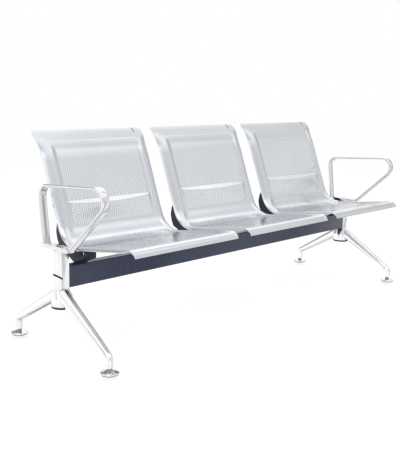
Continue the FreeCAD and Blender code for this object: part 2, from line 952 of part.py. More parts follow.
def make_arm_base(letter, side):
    """The foot of the armrest: a flat bar across the top of the column."""
    name = f"arm_base_{letter}"
    near, far = mirrored(side, leg_plane - size.arm_width / 2, leg_plane + size.arm_width / 2)
    rear = size.beam_axis_y + size.arm_base_rear
    front = size.beam_axis_y - size.arm_base_front
    body = new_body(name)
    plan = new_sketch(body, "XY_Plane", f"{name}_plan", column_top)
    draw_polygon(plan, [(near, front), (far, front), (far, rear), (near, rear)])
    pad(body, plan, size.arm_base_height)
    holes = new_sketch(body, "XY_Plane", f"{name}_holes", column_top + size.arm_base_height)
    for y in arm_bolt_ys():
        draw_circle(holes, leg_plane * side, y, size.arm_bolt_radius + size.bolt_gap)
    pocket(body, holes, size.arm_base_height, "BoltHoles")
    counterbores = new_sketch(
        body, "XY_Plane", f"{name}_counterbores", column_top + size.arm_base_height,
    )
    for y in arm_bolt_ys():
        draw_circle(counterbores, leg_plane * side, y, size.arm_bolt_head + size.bolt_gap)
    pocket(body, counterbores, arm_head_depth, "Counterbores")
    keep(body, name)


def make_arm_bolts(letter, side):
    """Socket screws sunk in the armrest's foot and threaded into the column's top plate."""
    name = f"arm_bolts_{letter}"
    bolts = []
    top = column_top + size.arm_base_height
    low = column_top - size.top_plate_thickness
    x = leg_plane * side
    for y in arm_bolt_ys():
        shank = cylinder(f"{name}_shank", size.arm_bolt_radius, top - arm_head_depth - low, x, y, low)
        head = cylinder(f"{name}_head", size.arm_bolt_head, arm_head_depth, x, y, top - arm_head_depth)
        socket = hexagon(
            f"{name}_socket", size.arm_bolt_socket, arm_head_depth / 2,
            x, y, top - arm_head_depth / 2,
        )
        bolts.append(cut(f"{name}_bolt", fuse(f"{name}_blank", shank, head), socket))
    group(name, *bolts)


# Seat shells


def lip_point(depth):
    """The lip's bottom edge, at a depth behind the rolled rim."""
    heading = math.radians(size.lip_turn.value - size.pan_slope.value)
    centre = FreeCAD.Vector(
        0, size.beam_axis_y.value - size.lip_front.value + size.lip_radius.value, lip_height.value,
    )
    inward = FreeCAD.Vector(0, math.sin(heading), -math.cos(heading))
    return centre - inward * (size.lip_radius.value - depth)


def seat_trace(depth):
    """The shell's side view from lip to crown, at a depth behind its rolled rim."""
    start = lip_point(depth)
    trace = Trace(start.y, start.z, size.lip_turn.value - size.pan_slope.value)
    trace.turn(size.lip_radius.value - depth, -size.lip_turn.value)
    trace.straight(size.pan_flat.value)
    trace.turn(size.bend_radius.value + depth, size.bend_turn.value)
    trace.straight(size.back_flat.value)
    trace.turn(size.crown_radius.value - depth, -size.crown_turn.value)
    return trace


def panel_faces():
    """Depths of the panel's front and rear face behind the raised sides."""
    front = size.bolster_rise.value
    return front, front + size.sheet_thickness.value


def shell_section(centre):
    """The shell's section across its width, at the lip: panel, raised sides, rolled hems."""
    half = size.seat_width.value / 2
    hem = size.hem_radius.value
    panel_front, panel_back = panel_faces()
    side_start = half - hem - size.bolster_width.value
    hem_x = half - hem

    def at(x, depth):
        return FreeCAD.Vector(centre + x, 0, 0) + lip_point(depth)

    edges = []
    for sign in (-1, 1):
        outward = [
            (at(sign * side_start, panel_front), at(sign * hem_x, 0.0)),
            (at(sign * hem_x, 2 * hem), at(sign * (hem_x - hem), hem)),
            (at(sign * (hem_x - hem), hem), at(sign * side_start, panel_back)),
        ]
        edges += [Part.LineSegment(a, b).toShape() for a, b in outward]
        curl = Part.Arc(at(sign * hem_x, 0.0), at(sign * half, hem), at(sign * hem_x, 2 * hem))
        edges.append(curl.toShape())
    for depth in (panel_front, panel_back):
        edges.append(Part.LineSegment(at(-side_start, depth), at(side_start, depth)).toShape())
    return Part.Wire(Part.__sortEdges__(edges))


def lip_corner_cutter(centre, sign):
    """What the rounded bottom corner of a shell's lip takes off, seen from the front."""
    radius = size.lip_corner.value
    spare = size.hem_radius.value
    edge = lip_point(0.0)
    deep = size.lip_radius.value + spare
    side = centre + sign * size.seat_width.value / 2
    inside = side - sign * radius
    outside = side + sign * spare
    block = Part.makeBox(
        radius + spare, deep, radius + spare,
        FreeCAD.Vector(min(inside, outside), edge.y - spare, edge.z - spare),
    )
    keep_round = Part.makeCylinder(
        radius, deep, FreeCAD.Vector(inside, edge.y - spare, edge.z + radius), FreeCAD.Vector(0, 1, 0),
    )
    return block.cut(keep_round)


def make_seat(seat, index):
    name = f"seat_shell_{seat}"
    centre = seat_centre(index).value
    path = seat_trace(0.0).wire()
    path.translate(FreeCAD.Vector(centre, 0, 0))
    shell = sweep(path, shell_section(centre))
    for sign in (-1, 1):
        shell = shell.cut(lip_corner_cutter(centre, sign))
    keep(from_shape(name, shell), name)


def sheet_layer(near_depth, far_depth, low_x, high_x):
    """The space between two depths behind the shell's front face, over a span of X."""
    near = seat_trace(near_depth)
    far = seat_trace(far_depth)
    outline = near.edges + far.edges
    for first, second in ((near.edges[0], far.edges[0]), (near.edges[-1], far.edges[-1])):
        vertex = 0 if first is near.edges[0] else 1
        outline.append(
            Part.LineSegment(first.Vertexes[vertex].Point, second.Vertexes[vertex].Point).toShape()
        )
    face = Part.Face(Part.Wire(Part.__sortEdges__(outline)))
    face.translate(FreeCAD.Vector(low_x, 0, 0))
    return face.extrude(FreeCAD.Vector(high_x - low_x, 0, 0))


# Seat brackets


def bracket_span(side, centre):
    """The bracket's outer and inner X: its web outside, its flanges towards the middle."""
    outer = centre + size.bracket_thickness / 2 * side
    inner = outer - (size.bracket_flange + size.bracket_thickness) * side
    return outer, inner


def ordered(first, second):
    return (first, second) if first.value < second.value else (second, first)


def pan_point(along, depth):
    """A place on the pan: distance back from the lip's bend and depth under the face."""
    trace = seat_trace(depth)
    start = trace.edges[1].Vertexes[0].Point
    slope = math.radians(-size.pan_slope.value)
    return start + FreeCAD.Vector(0, math.cos(slope), math.sin(slope)) * along


def back_point(along, depth):
    """A place on the back: distance up from the bend and depth behind the face."""
    trace = seat_trace(depth)
    start = trace.edges[3].Vertexes[0].Point
    slope = math.radians(size.bend_turn.value - size.pan_slope.value)
    return start + FreeCAD.Vector(0, math.cos(slope), math.sin(slope)) * along


def stud_lines():
    """Where the seat's studs stand: start on the shell's rear face and direction away."""
    panel_front, panel_back = panel_faces()
    pan_reach = pan_point(0.0, 0.0).y - (size.beam_axis_y.value - size.bracket_front.value)
    edge = size.bracket_flange.value / 2
    front_stud = -pan_reach + edge
    rear_stud = size.pan_flat.value - edge
    lines = []
    for along in (front_stud, rear_stud):
        start = pan_point(along, panel_back)
        lines.append((start, (start - pan_point(along, panel_front)).normalize()))
    start = back_point(edge, panel_back)
    lines.append((start, (start - back_point(edge, panel_front)).normalize()))
    return lines


def make_bracket(seat, letter, side, centre):
    """A pressed bracket: a web, flanges under the pan and the back, a foot on the beam."""
    name = f"seat_bracket_{seat}{letter}"
    axis = size.beam_axis_y
    low, high = ordered(
        centre - size.bracket_thickness / 2, centre + size.bracket_thickness / 2,
    )
    half = size.beam_depth / 2
    _, panel_back = panel_faces()
    pan_edge = pan_point(0.0, panel_back)
    slope = math.tan(math.radians(size.pan_slope.value))
    forward = axis - size.bracket_front
    pan_z = pan_edge.z - slope * (forward.value - pan_edge.y)
    hole_z = pan_edge.z - slope * ((axis - size.bracket_hole_forward).value - pan_edge.y)

    body = new_body(f"{name}_blank")
    outline = new_sketch(body, "YZ_Plane", f"{name}_outline", low)
    rear_edge = [
        (axis + getattr(size, f"{point}_behind"), beam_top + getattr(size, f"{point}_above"))
        for point, _, _ in BRACKET_REAR_EDGE
    ]
    inside_bend = pan_point(size.pan_flat.value, -size.bend_radius.value / 2)
    draw_polygon(outline, [
        (axis - half, beam_top),
        (axis + half, beam_top),
        *rear_edge,
        (dim(inside_bend.y), dim(inside_bend.z)),
        (forward, dim(pan_z) + size.flange_thickness),
        (forward, dim(pan_z) - size.bracket_front_drop),
    ])
    pad(body, outline, high - low)
    for point, _, _ in BRACKET_REAR_EDGE[:-1]:
        y = (axis + getattr(size, f"{point}_behind")).value
        z = (beam_top + getattr(size, f"{point}_above")).value
        fillet(
            body, size.bracket_round,
            lambda e: runs_along(e, 0) and passes_near(e, y, z, (1, 2)),
            f"{point}_round",
        )
    hole = new_sketch(body, "YZ_Plane", f"{name}_hole", high)
    draw_circle(
        hole, axis - size.bracket_hole_forward, dim(hole_z) - size.bracket_hole_drop,
        size.bracket_hole_radius,
    )
    pocket(body, hole, high - low, "Hole")

    outer, inner = bracket_span(side, centre)
    near, far = ordered(outer, inner)
    reach = size.bend_radius.value - size.hem_radius.value
    spare = size.bolt_gap.value
    above = sheet_layer(-reach, panel_back, low.value - spare, high.value + spare)
    over = from_shape(f"{name}_seat_space", above)
    web = cut(f"{name}_web", body, over)

    layer = sheet_layer(
        panel_back, panel_back + size.flange_thickness.value, near.value, far.value,
    )
    window_low = FreeCAD.Vector(near.value, forward.value, beam_top.value)
    window_high = back_point(size.bracket_flange.value, 0.0)
    behind = back_point(size.bracket_flange.value * 2, panel_back + size.flange_thickness.value)
    window = Part.makeBox(
        far.value - near.value,
        behind.y - forward.value,
        window_high.z - beam_top.value,
        window_low,
    )
    flange = layer.common(window)
    for start, away in stud_lines():
        flange = flange.cut(Part.makeCylinder(
            size.seat_stud_radius.value + size.bolt_gap.value,
            size.flange_thickness.value + size.seat_nut_thickness.value,
            FreeCAD.Vector(bracket_bolt_x(centre, side).value, start.y, start.z), away,
        ))
    strip = from_shape(f"{name}_strip", flange)

    foot_blank = box(
        f"{name}_foot_blank",
        (near, axis - half, beam_top),
        (far, axis + half, beam_top + size.flange_thickness),
    )
    foot_hole = cylinder(
        f"{name}_foot_hole", size.bracket_bolt_radius + size.bolt_gap, size.flange_thickness,
        bracket_bolt_x(centre, side), bracket_bolt_y, beam_top,
    )
    foot = cut(f"{name}_foot", foot_blank, foot_hole)
    keep(fuse(name, web, strip, foot), name)


def make_beam_screws(seat, index):
    """Hexagon bolts that hold one seat's brackets on the beam, with their inside nuts."""
    name = f"bracket_bolts_{seat}"
    solids = []
    for letter, side in SIDES.items():
        centre = seat_centre(index) + bracket_reach * side
        x = bracket_bolt_x(centre, side)
        seat_z = beam_top + size.flange_thickness
        nut_top = beam_top - size.beam_wall
        shank_low = nut_top - size.bracket_nut_thickness
        shank = cylinder(
            f"{name}_shank", size.bracket_bolt_radius, seat_z - shank_low, x, bracket_bolt_y, shank_low,
        )
        head = hexagon(
            f"{name}_head", size.bracket_bolt_flats, size.bracket_bolt_head, x, bracket_bolt_y, seat_z,
        )
        solids.append(fuse(f"{name}_bolt", shank, head))
        nut = hexagon(
            f"{name}_nut_blank", size.bracket_bolt_flats, size.bracket_nut_thickness,
            x, bracket_bolt_y, shank_low,
        )
        hole = cylinder(
            f"{name}_nut_hole", size.bracket_bolt_radius + size.running_gap,
            size.bracket_nut_thickness, x, bracket_bolt_y, shank_low,
        )
        solids.append(cut(f"{name}_nut", nut, hole))
    group(name, *solids)


def make_seat_studs(seat, index):
    """Studs welded to the back of the shell, each with its nut under the bracket's flange."""
    name = f"seat_studs_{seat}"
    shapes = []
    thick = size.flange_thickness.value
    nut_height = size.seat_nut_thickness.value
    for side in SIDES.values():
        centre = seat_centre(index) + bracket_reach * side
        x = bracket_bolt_x(centre, side).value
        for start, away in stud_lines():
            foot = FreeCAD.Vector(x, start.y, start.z)
            stud = Part.makeCylinder(size.seat_stud_radius.value, thick + nut_height, foot, away)
            rim = size.seat_nut_flats.value / math.sqrt(3.0)
            turn = FreeCAD.Rotation(FreeCAD.Vector(0, 0, 1), away)
            corners = [
                foot + away * thick + turn.multVec(FreeCAD.Vector(
                    rim * math.cos(math.radians(60 * i)), rim * math.sin(math.radians(60 * i)), 0,
                ))
                for i in range(6)
            ]
            nut = Part.Face(Part.makePolygon(corners + corners[:1])).extrude(away * nut_height)
            shapes.append(stud.fuse(nut).removeSplitter())
    keep(from_shape(name, Part.makeCompound(shapes)), name)


def build():
    make_beam()
    for letter, side in SIDES.items():
        make_end_plate(letter, side)
        make_beam_bolts(letter, side)
        make_column(letter, side)
        make_leg_trim(letter, side)
        make_top_plate(letter, side)
        blank = make_hub_blank(letter, side)
        make_hub(letter, side, blank)
        make_hub_plug(letter, side)
        for end in ("front", "rear"):
            make_leg(end, letter, side, blank)
            make_foot(end, letter, side)
        make_arm(letter, side)
        make_arm_base(letter, side)
        make_arm_bolts(letter, side)
    for seat, index in SEATS.items():
        make_seat(seat, index)
        make_beam_screws(seat, index)
        make_seat_studs(seat, index)
    for place_of_bracket in bracket_places():
        make_bracket(*place_of_bracket)
    doc.recompute()


def check():
    """Stop if any object failed or any finished piece is not a sound solid."""
    for thing in doc.Objects:
        if "Invalid" in thing.State or "Error" in thing.State:
            raise RuntimeError(f"{thing.Label} did not build: {thing.State}")
    for node in nodes:
        if node.Shape.isNull() or not node.Shape.isValid():
            raise RuntimeError(f"{node.Label} is not a valid shape")
        if node.Shape.Volume <= 0.0:
            raise RuntimeError(f"{node.Label} has no volume")


def write():
    os.makedirs("parts", exist_ok=True)
    for node in nodes:
        node.Shape.exportStep(os.path.join("parts", f"{node.Label}.step"))
        print(f"{node.Label}: {len(node.Shape.Solids)} solid(s), {node.Shape.Volume / 1000.0:.1f} cm3")


build()
check()
write()
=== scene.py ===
import logging
import math
from dataclasses import dataclass, field
from enum import Enum
from typing import Callable

import bmesh
import bpy
import numpy as np
from mathutils import Matrix, Vector


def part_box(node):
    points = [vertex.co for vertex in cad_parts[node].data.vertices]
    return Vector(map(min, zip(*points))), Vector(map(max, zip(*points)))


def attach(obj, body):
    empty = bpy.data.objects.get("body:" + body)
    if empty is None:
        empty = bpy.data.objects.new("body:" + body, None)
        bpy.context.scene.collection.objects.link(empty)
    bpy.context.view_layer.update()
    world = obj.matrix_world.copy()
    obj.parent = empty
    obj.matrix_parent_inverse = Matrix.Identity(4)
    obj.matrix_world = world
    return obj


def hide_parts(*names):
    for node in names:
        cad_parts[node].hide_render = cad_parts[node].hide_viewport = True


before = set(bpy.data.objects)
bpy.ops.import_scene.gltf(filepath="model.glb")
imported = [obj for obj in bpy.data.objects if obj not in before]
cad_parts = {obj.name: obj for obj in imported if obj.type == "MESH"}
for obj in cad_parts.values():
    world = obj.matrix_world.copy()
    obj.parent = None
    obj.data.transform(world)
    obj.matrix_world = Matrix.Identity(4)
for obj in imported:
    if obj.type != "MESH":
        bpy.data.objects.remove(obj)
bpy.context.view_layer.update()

MM = 0.001
TOUCH = 0.01 * MM
WELD = 0.005 * MM
BEAM_AXIS = 20.0 * MM
Array, Piece, Socket = np.ndarray, bpy.types.Object, bpy.types.NodeSocket
Pair, Triple = tuple[float, float], tuple[float, float, float]
Stops = tuple[Pair, ...]
SEAT_CENTRES = {"1": -586.0 * MM, "2": 0.0, "3": 586.0 * MM}

log = logging.getLogger("bench")


class Side(Enum):
    """The bench's two ends and the two sides of a seat, as the camera sees them."""

    LEFT = "L"
    RIGHT = "R"

    @property
    def sign(self) -> int:
        """Direction along X: -1 at the left, +1 at the right."""
        return -1 if self is Side.LEFT else 1


class End(Enum):
    """Which way a leg goes from its hub."""

    FRONT = "front"
    REAR = "rear"


class Part(Enum):
    """What an edit works on."""

    VERTEX = "VERT"
    EDGE = "EDGE"
    FACE = "FACE"


# Modelling by hand


def deselect_all() -> None:
    """Leave object mode with nothing selected."""
    if bpy.context.object is not None and bpy.context.object.mode != "OBJECT":
        close()
    bpy.ops.object.select_all(action="DESELECT")


def take(piece: Piece) -> None:
    """Select one piece alone and make it active.

    Args:
        piece: The object to work on next.
    """
    deselect_all()
    piece.select_set(True)
    bpy.context.view_layer.objects.active = piece


def named(name: str) -> Piece:
    """Give the primitive that was just added its name.

    Args:
        name: The piece's name.

    Returns:
        The active object.
    """
    piece = bpy.context.object
    piece.name = name
    piece.data.name = name
    return piece


def edit(piece: Piece, part: Part = Part.VERTEX) -> None:
    """Open a piece for editing with everything selected.

    Args:
        piece: The object to edit.
        part: What the next selections work on.
    """
    take(piece)
    bpy.ops.object.mode_set(mode="EDIT")
    bpy.ops.mesh.select_mode(type=part.value)
    bpy.ops.mesh.select_all(action="SELECT")


def middle_of(item: bmesh.types.BMVert | bmesh.types.BMEdge | bmesh.types.BMFace) -> Vector:
    """The place by which an item is picked.

    Args:
        item: A vertex, edge or face.

    Returns:
        Its middle.
    """
    if isinstance(item, bmesh.types.BMVert):
        return item.co
    if isinstance(item, bmesh.types.BMEdge):
        return (item.verts[0].co + item.verts[1].co) / 2
    return item.calc_center_median()


def pick(part: Part, test: Callable) -> int:
    """Select by a test, in edit mode.

    Args:
        part: Vertices, edges or faces.
        test: Called with each item and its place; true selects it.

    Returns:
        How many were selected.
    """
    bpy.ops.mesh.select_mode(type=part.value)
    bpy.ops.mesh.select_all(action="DESELECT")
    mesh = bmesh.from_edit_mesh(bpy.context.object.data)
    items = {Part.VERTEX: mesh.verts, Part.EDGE: mesh.edges, Part.FACE: mesh.faces}[part]
    chosen = [item for item in items if test(item, middle_of(item))]
    for item in chosen:
        item.select_set(True)
    mesh.select_flush_mode()
    bmesh.update_edit_mesh(bpy.context.object.data)
    return len(chosen)


def close() -> None:
    """Leave edit mode."""
    bpy.ops.object.mode_set(mode="OBJECT")


def draw_on(move: Vector) -> None:
    """Draw the selected edges or face on by a distance, in edit mode."""
    bpy.ops.mesh.extrude_region_move(TRANSFORM_OT_translate={"value": move})


def settle(piece: Piece) -> None:
    """Move a piece's place, turn and scale into its mesh."""
    take(piece)
    bpy.ops.object.transform_apply(location=True, rotation=True, scale=True)


def modify(piece: Piece, kind: str, **settings: object) -> None:
    """Add a modifier and apply it.

    Args:
        piece: The object that gets it.
        kind: Blender's name of the modifier's type.
        settings: The modifier's properties.
    """
    take(piece)
    modifier = piece.modifiers.new(kind.title(), kind)
    for key, value in settings.items():
        setattr(modifier, key, value)
    bpy.ops.object.modifier_apply(modifier=modifier.name)


def outward(piece: Piece) -> None:
    """Merge doubled points and turn every face outwards.

    Args:
        piece: The object to clean.
    """
    edit(piece)
    bpy.ops.mesh.remove_doubles(threshold=WELD)
    bpy.ops.mesh.normals_make_consistent(inside=False)
    close()


# Finishes


class Tree:
    """A node tree that is being put together."""

    def __init__(self, owner: bpy.types.Material | bpy.types.World) -> None:
        """Empty the owner's tree.

        Args:
            owner: The material or world that gets the nodes.
        """
        owner.use_nodes = True
        self.nodes = owner.node_tree.nodes
        self.links = owner.node_tree.links
        self.nodes.clear()

    def node(self, kind: str, **values: object) -> bpy.types.Node:
        """Add a node.

        Args:
            kind: Its type, without the word ShaderNode.
            values: What its inputs get, named with underscores for spaces.

        Returns:
            The new node.
        """
        made = self.nodes.new(f"ShaderNode{kind}")
        self.fill(made, **values)
        return made

    def fill(self, node: bpy.types.Node, **values: object) -> None:
        """Link sockets to a node's inputs, or set the inputs' own values."""
        for name, value in values.items():
            self.feed(node.inputs[name.replace("_", " ")], value)

    def feed(self, target: Socket, value: object) -> None:
        """Link another socket to an input, or set the input's own value."""
        if isinstance(value, Socket):
            self.links.new(value, target)
        else:
            target.default_value = value

    def math(self, operation: str, *values: object) -> Socket:
        """The result of one sum.

        Args:
            operation: Blender's name of the sum.
            values: One or two sockets or numbers.

        Returns:
            The result's socket.
        """
        node = self.node("Math")
        node.operation = operation
        for target, value in zip(node.inputs, values):
            self.feed(target, value)
        return node.outputs[0]

    def mix(self, factor: object, first: object, second: object, blend: str = "MIX") -> Socket:
        """Two colours mixed.

        Args:
            factor: The second one's share.
            first: The colour at 0.
            second: The colour at 1.
            blend: How they are blended.

        Returns:
            The mixed colour's socket.
        """
        node = self.node("Mix")
        node.data_type, node.blend_type = "RGBA", blend
        for name, value in (("Factor_Float", factor), ("A_Color", first), ("B_Color", second)):
            self.feed(next(s for s in node.inputs if s.identifier == name), value)
        return next(s for s in node.outputs if s.identifier == "Result_Color")

    def choose(self, factor: object, first: Socket, second: Socket) -> Socket:
        """Two shaders mixed.

        Args:
            factor: The second one's share.
            first: The shader at 0.
            second: The shader at 1.

        Returns:
            The mixed shader's socket.
        """
        node = self.node("MixShader")
        for target, value in zip(node.inputs, (factor, first, second)):
            self.feed(target, value)
        return node.outputs[0]

    def seen_directly(self) -> Socket:
        """Whether a ray shows what it hits.

        Returns:
            1 for rays from the camera, from a mirror or through glass, and 0 for diffuse light.
        """
        path = self.node("LightPath")
        total = path.outputs["Is Camera Ray"]
        for name in ("Is Glossy Ray", "Is Transmission Ray"):
            total = self.math("MAXIMUM", total, path.outputs[name])
        return total


class Recipe(Tree):
    """A finish's node tree: one surface shader, fed by patterns."""

    cloud_low: float = 0.3
    cloud_high: float = 0.7

    def __init__(self, name: str) -> None:
        """Start with the surface shader and its output.

        Args:
            name: The material's name.
        """
        self.material = bpy.data.materials.new(name)
        super().__init__(self.material)
        self.surface = self.node("BsdfPrincipled")
        self.node("OutputMaterial", Surface=self.surface.outputs["BSDF"])
        self.place = self.node("TexCoord").outputs["Object"]

    def noise(self, scale: float, detail: float, rough: float = 0.5,
              stretch: Triple = (1.0, 1.0, 1.0)) -> Socket:
        """Cloudy noise over the object.

        Args:
            scale: Its scale, per metre.
            detail: How many finer layers it has.
            rough: How strong those layers are.
            stretch: How much denser it is along X, Y and Z.

        Returns:
            The noise value's socket.
        """
        mapping = self.node("Mapping", Scale=stretch, Vector=self.place)
        texture = self.node("TexNoise", Scale=scale, Detail=detail, Roughness=rough,
                            Vector=mapping.outputs["Vector"])
        return texture.outputs["Fac"]

    def spread(self, value: Socket, low: float, high: float) -> Socket:
        """Map a noise value to a range of another value.

        Args:
            value: The noise.
            low: What its low clouds give.
            high: What its high clouds give.

        Returns:
            The mapped value's socket.
        """
        node = self.node("MapRange", From_Min=self.cloud_low, From_Max=self.cloud_high,
                         To_Min=low, To_Max=high, Value=value)
        return node.outputs["Result"]

    def tint(self, value: Socket, low: Triple, high: Triple) -> Socket:
        """Map a noise value to a colour between two.

        Args:
            value: The noise.
            low: The colour of its low clouds, as three numbers.
            high: The colour of its high clouds.

        Returns:
            The colour's socket.
        """
        node = self.node("ValToRGB", Fac=value)
        places = (self.cloud_low, low), (self.cloud_high, high)
        for element, (place, colour) in zip(node.color_ramp.elements, places):
            element.position, element.color = place, (*colour, 1.0)
        return node.outputs["Color"]

    def relief(self, height: Socket, depth: float, under: Socket | None = None) -> Socket:
        """A bump of a real depth.

        Args:
            height: The pattern that rises and falls.
            depth: Its height in metres.
            under: A coarser bump that this one lies on.

        Returns:
            The bumped normal's socket.
        """
        bump = self.node("Bump", Distance=depth, Height=height)
        if under is not None:
            self.fill(bump, Normal=under)
        return bump.outputs["Normal"]


@dataclass(frozen=True)
class BareMetal:
    """Polished or satin metal, with fine marks and cloudy gloss."""

    name: str
    dark: Triple
    light: Triple
    glossy: float
    dull: float
    cloud_scale: float = 14.0
    grain_scale: float = 900.0
    grain_stretch: Triple = (1.0, 1.0, 1.0)
    grain_depth: float = 0.02 * MM
    wave_scale: float = 35.0
    wave_depth: float = 0.05 * MM
    patch_factor: float = 3.0

    def make(self) -> bpy.types.Material:
        """Build the material.

        Returns:
            The new material.
        """
        recipe = Recipe(self.name)
        cloud = recipe.noise(self.cloud_scale, detail=5.0)
        grain = recipe.noise(self.grain_scale, detail=3.0, stretch=self.grain_stretch)
        patchy = recipe.noise(self.cloud_scale * self.patch_factor, detail=6.0, rough=0.6)
        wave = recipe.relief(recipe.noise(self.wave_scale, detail=1.0), self.wave_depth)
        recipe.fill(
            recipe.surface,
            Metallic=1.0,
            Base_Color=recipe.tint(cloud, self.dark, self.light),
            Roughness=recipe.spread(patchy, self.glossy, self.dull),
            Normal=recipe.relief(grain, self.grain_depth, under=wave),
        )
        return recipe.material


@dataclass(frozen=True)
class Coating:
    """Paint, powder coat or plastic: a coloured skin with a fine texture."""

    name: str
    dark: Triple
    light: Triple
    glossy: float
    dull: float
    pebble_scale: float = 420.0
    pebble_depth: float = 0.02 * MM
    dust_scale: float = 9.0
    scuff_factor: float = 6.0
    shine: float = 0.5
    coat: float = 0.0
    coat_roughness: float = 0.12
    index: float = 1.5

    def make(self) -> bpy.types.Material:
        """Build the material.

        Returns:
            The new material.
        """
        recipe = Recipe(self.name)
        dust = recipe.noise(self.dust_scale, detail=6.0, rough=0.6)
        scuff = recipe.noise(self.dust_scale * self.scuff_factor, detail=5.0)
        pebble = recipe.noise(self.pebble_scale, detail=2.0)
        recipe.fill(
            recipe.surface,
            Metallic=0.0, IOR=self.index, Specular_IOR_Level=self.shine,
            Coat_Weight=self.coat, Coat_Roughness=self.coat_roughness,
            Base_Color=recipe.tint(dust, self.dark, self.light),
            Roughness=recipe.spread(scuff, self.glossy, self.dull),
            Normal=recipe.relief(pebble, self.pebble_depth),
        )
        return recipe.material


class Finish(Enum):
    """Every finish on the bench."""

    SHEET = BareMetal("seat_sheet_satin_steel", (0.640, 0.665, 0.695), (0.685, 0.708, 0.735),
                      0.20, 0.27, cloud_scale=4.0, grain_scale=700.0,
                      grain_stretch=(0.15, 1.0, 1.0), grain_depth=0.004 * MM,
                      wave_scale=6.0, wave_depth=0.10 * MM)
    CHROME = BareMetal("polished_bar", (0.68, 0.675, 0.685), (0.76, 0.75, 0.76), 0.08, 0.13,
                       cloud_scale=20.0, wave_scale=14.0, wave_depth=0.30 * MM,
                       grain_depth=0.003 * MM)
    CASTING = BareMetal("polished_casting", (0.79, 0.79, 0.80), (0.86, 0.855, 0.865), 0.17, 0.23,
                        cloud_scale=16.0, wave_scale=12.0, wave_depth=0.30 * MM,
                        grain_depth=0.003 * MM)
    ZINC = BareMetal("zinc_plated_screw", (0.40, 0.40, 0.41), (0.60, 0.60, 0.61), 0.22, 0.38,
                     cloud_scale=60.0, wave_scale=200.0)
    BEAM = Coating("beam_slate_paint", (0.024, 0.032, 0.068), (0.031, 0.041, 0.084), 0.24, 0.32,
                   shine=0.28, coat=0.25, pebble_depth=0.004 * MM)
    BRACKET = Coating("bracket_dark_paint", (0.010, 0.013, 0.028), (0.017, 0.021, 0.042),
                      0.26, 0.40, shine=0.18)
    PLASTIC = Coating("black_moulding", (0.010, 0.010, 0.012), (0.020, 0.020, 0.022), 0.34, 0.48,
                      pebble_scale=900.0, shine=0.3)


FINISHES: dict[Finish, bpy.types.Material] = {}


def material_of(finish: Finish) -> bpy.types.Material:
    """The material of a finish, made the first time it is asked for."""
    if finish not in FINISHES:
        FINISHES[finish] = finish.value.make()
    return FINISHES[finish]


def install(piece: Piece, body: str, node: str, degrees: float,
            finish: Finish | None = None) -> None:
    """Shade and paint a finished piece and let it ride on its body in place of its solid.

    Args:
        piece: The finished piece.
        body: The body that carries it.
        node: The solid's node that it replaces.
        degrees: Edges at least this sharp stay sharp.
        finish: Its finish all over, unless it has its materials already.
    """
    take(piece)
    bpy.ops.object.shade_smooth_by_angle(angle=math.radians(degrees))
    if finish is not None:
        piece.data.materials.clear()
        piece.data.materials.append(material_of(finish))
    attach(piece, body)
    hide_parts(node)
    log.info("%s: %d faces on %s", piece.name, len(piece.data.polygons), body)


# Seat shells


@dataclass(frozen=True)
class SeatLine:
    """The shell's side view: lip, pan, bend, back and crown, from the lip's bottom edge up."""

    lip_front: float = 339.2 * MM
    lip_height: float = 391.9 * MM
    pan_slope: float = math.radians(8.0)
    runs: Stops = (
        (30.0 * MM, math.radians(-90.0)),
        (275.0 * MM, 0.0),
        (95.0 * MM, math.radians(76.7)),
        (250.3 * MM, 0.0),
        (246.0 * MM, math.radians(-30.4)),
    )

    def lengths(self) -> list[float]:
        """The length of each run: a straight has it as its size, a turn has its radius."""
        return [size if turn == 0.0 else size * abs(turn) for size, turn in self.runs]

    def total(self) -> float:
        """The whole line's length."""
        return sum(self.lengths())

    def at(self, along: Array) -> Array:
        """Places on the line.

        Args:
            along: Distances from the lip's bottom edge.

        Returns:
            Rows with Y, Z and the heading in radians at each distance.
        """
        radius = self.runs[0][0]
        heading = math.radians(90.0) - self.pan_slope
        y = BEAM_AXIS - self.lip_front + radius - radius * math.sin(heading)
        here = (y, self.lip_height + radius * math.cos(heading), heading)
        found = self._on_run(here, *self.runs[0], along)
        for (size, turn), length in zip(self.runs, self.lengths()):
            found = np.where(along >= 0.0, self._on_run(here, size, turn, along), found)
            here = self._on_run(here, size, turn, length)
            along = along - length
        return found

    @staticmethod
    def _on_run(start: Triple, size: float, turn: float, run: Array | float) -> tuple:
        """Where part of a run leads.

        Args:
            start: Y, Z and the heading at the run's start.
            size: The run's length, or its radius if it turns.
            turn: The run's turn in radians.
            run: The distance from its start.

        Returns:
            Y, Z and the heading there.
        """
        y, z, heading = start
        if turn == 0.0:
            return y + run * math.cos(heading), z + run * math.sin(heading), heading + 0.0 * run
        radius = math.copysign(size, turn)
        ahead = heading + run / radius
        return (y + radius * (np.sin(ahead) - math.sin(heading)),
                z - radius * (np.cos(ahead) - math.cos(heading)), ahead)


def ramp(value: Array, start: float, stop: float) -> Array:
    """A soft step from 0 at start to 1 at stop."""
    share = np.clip((value - start) / (stop - start), 0.0, 1.0)
    return share * share * (3.0 - 2.0 * share)


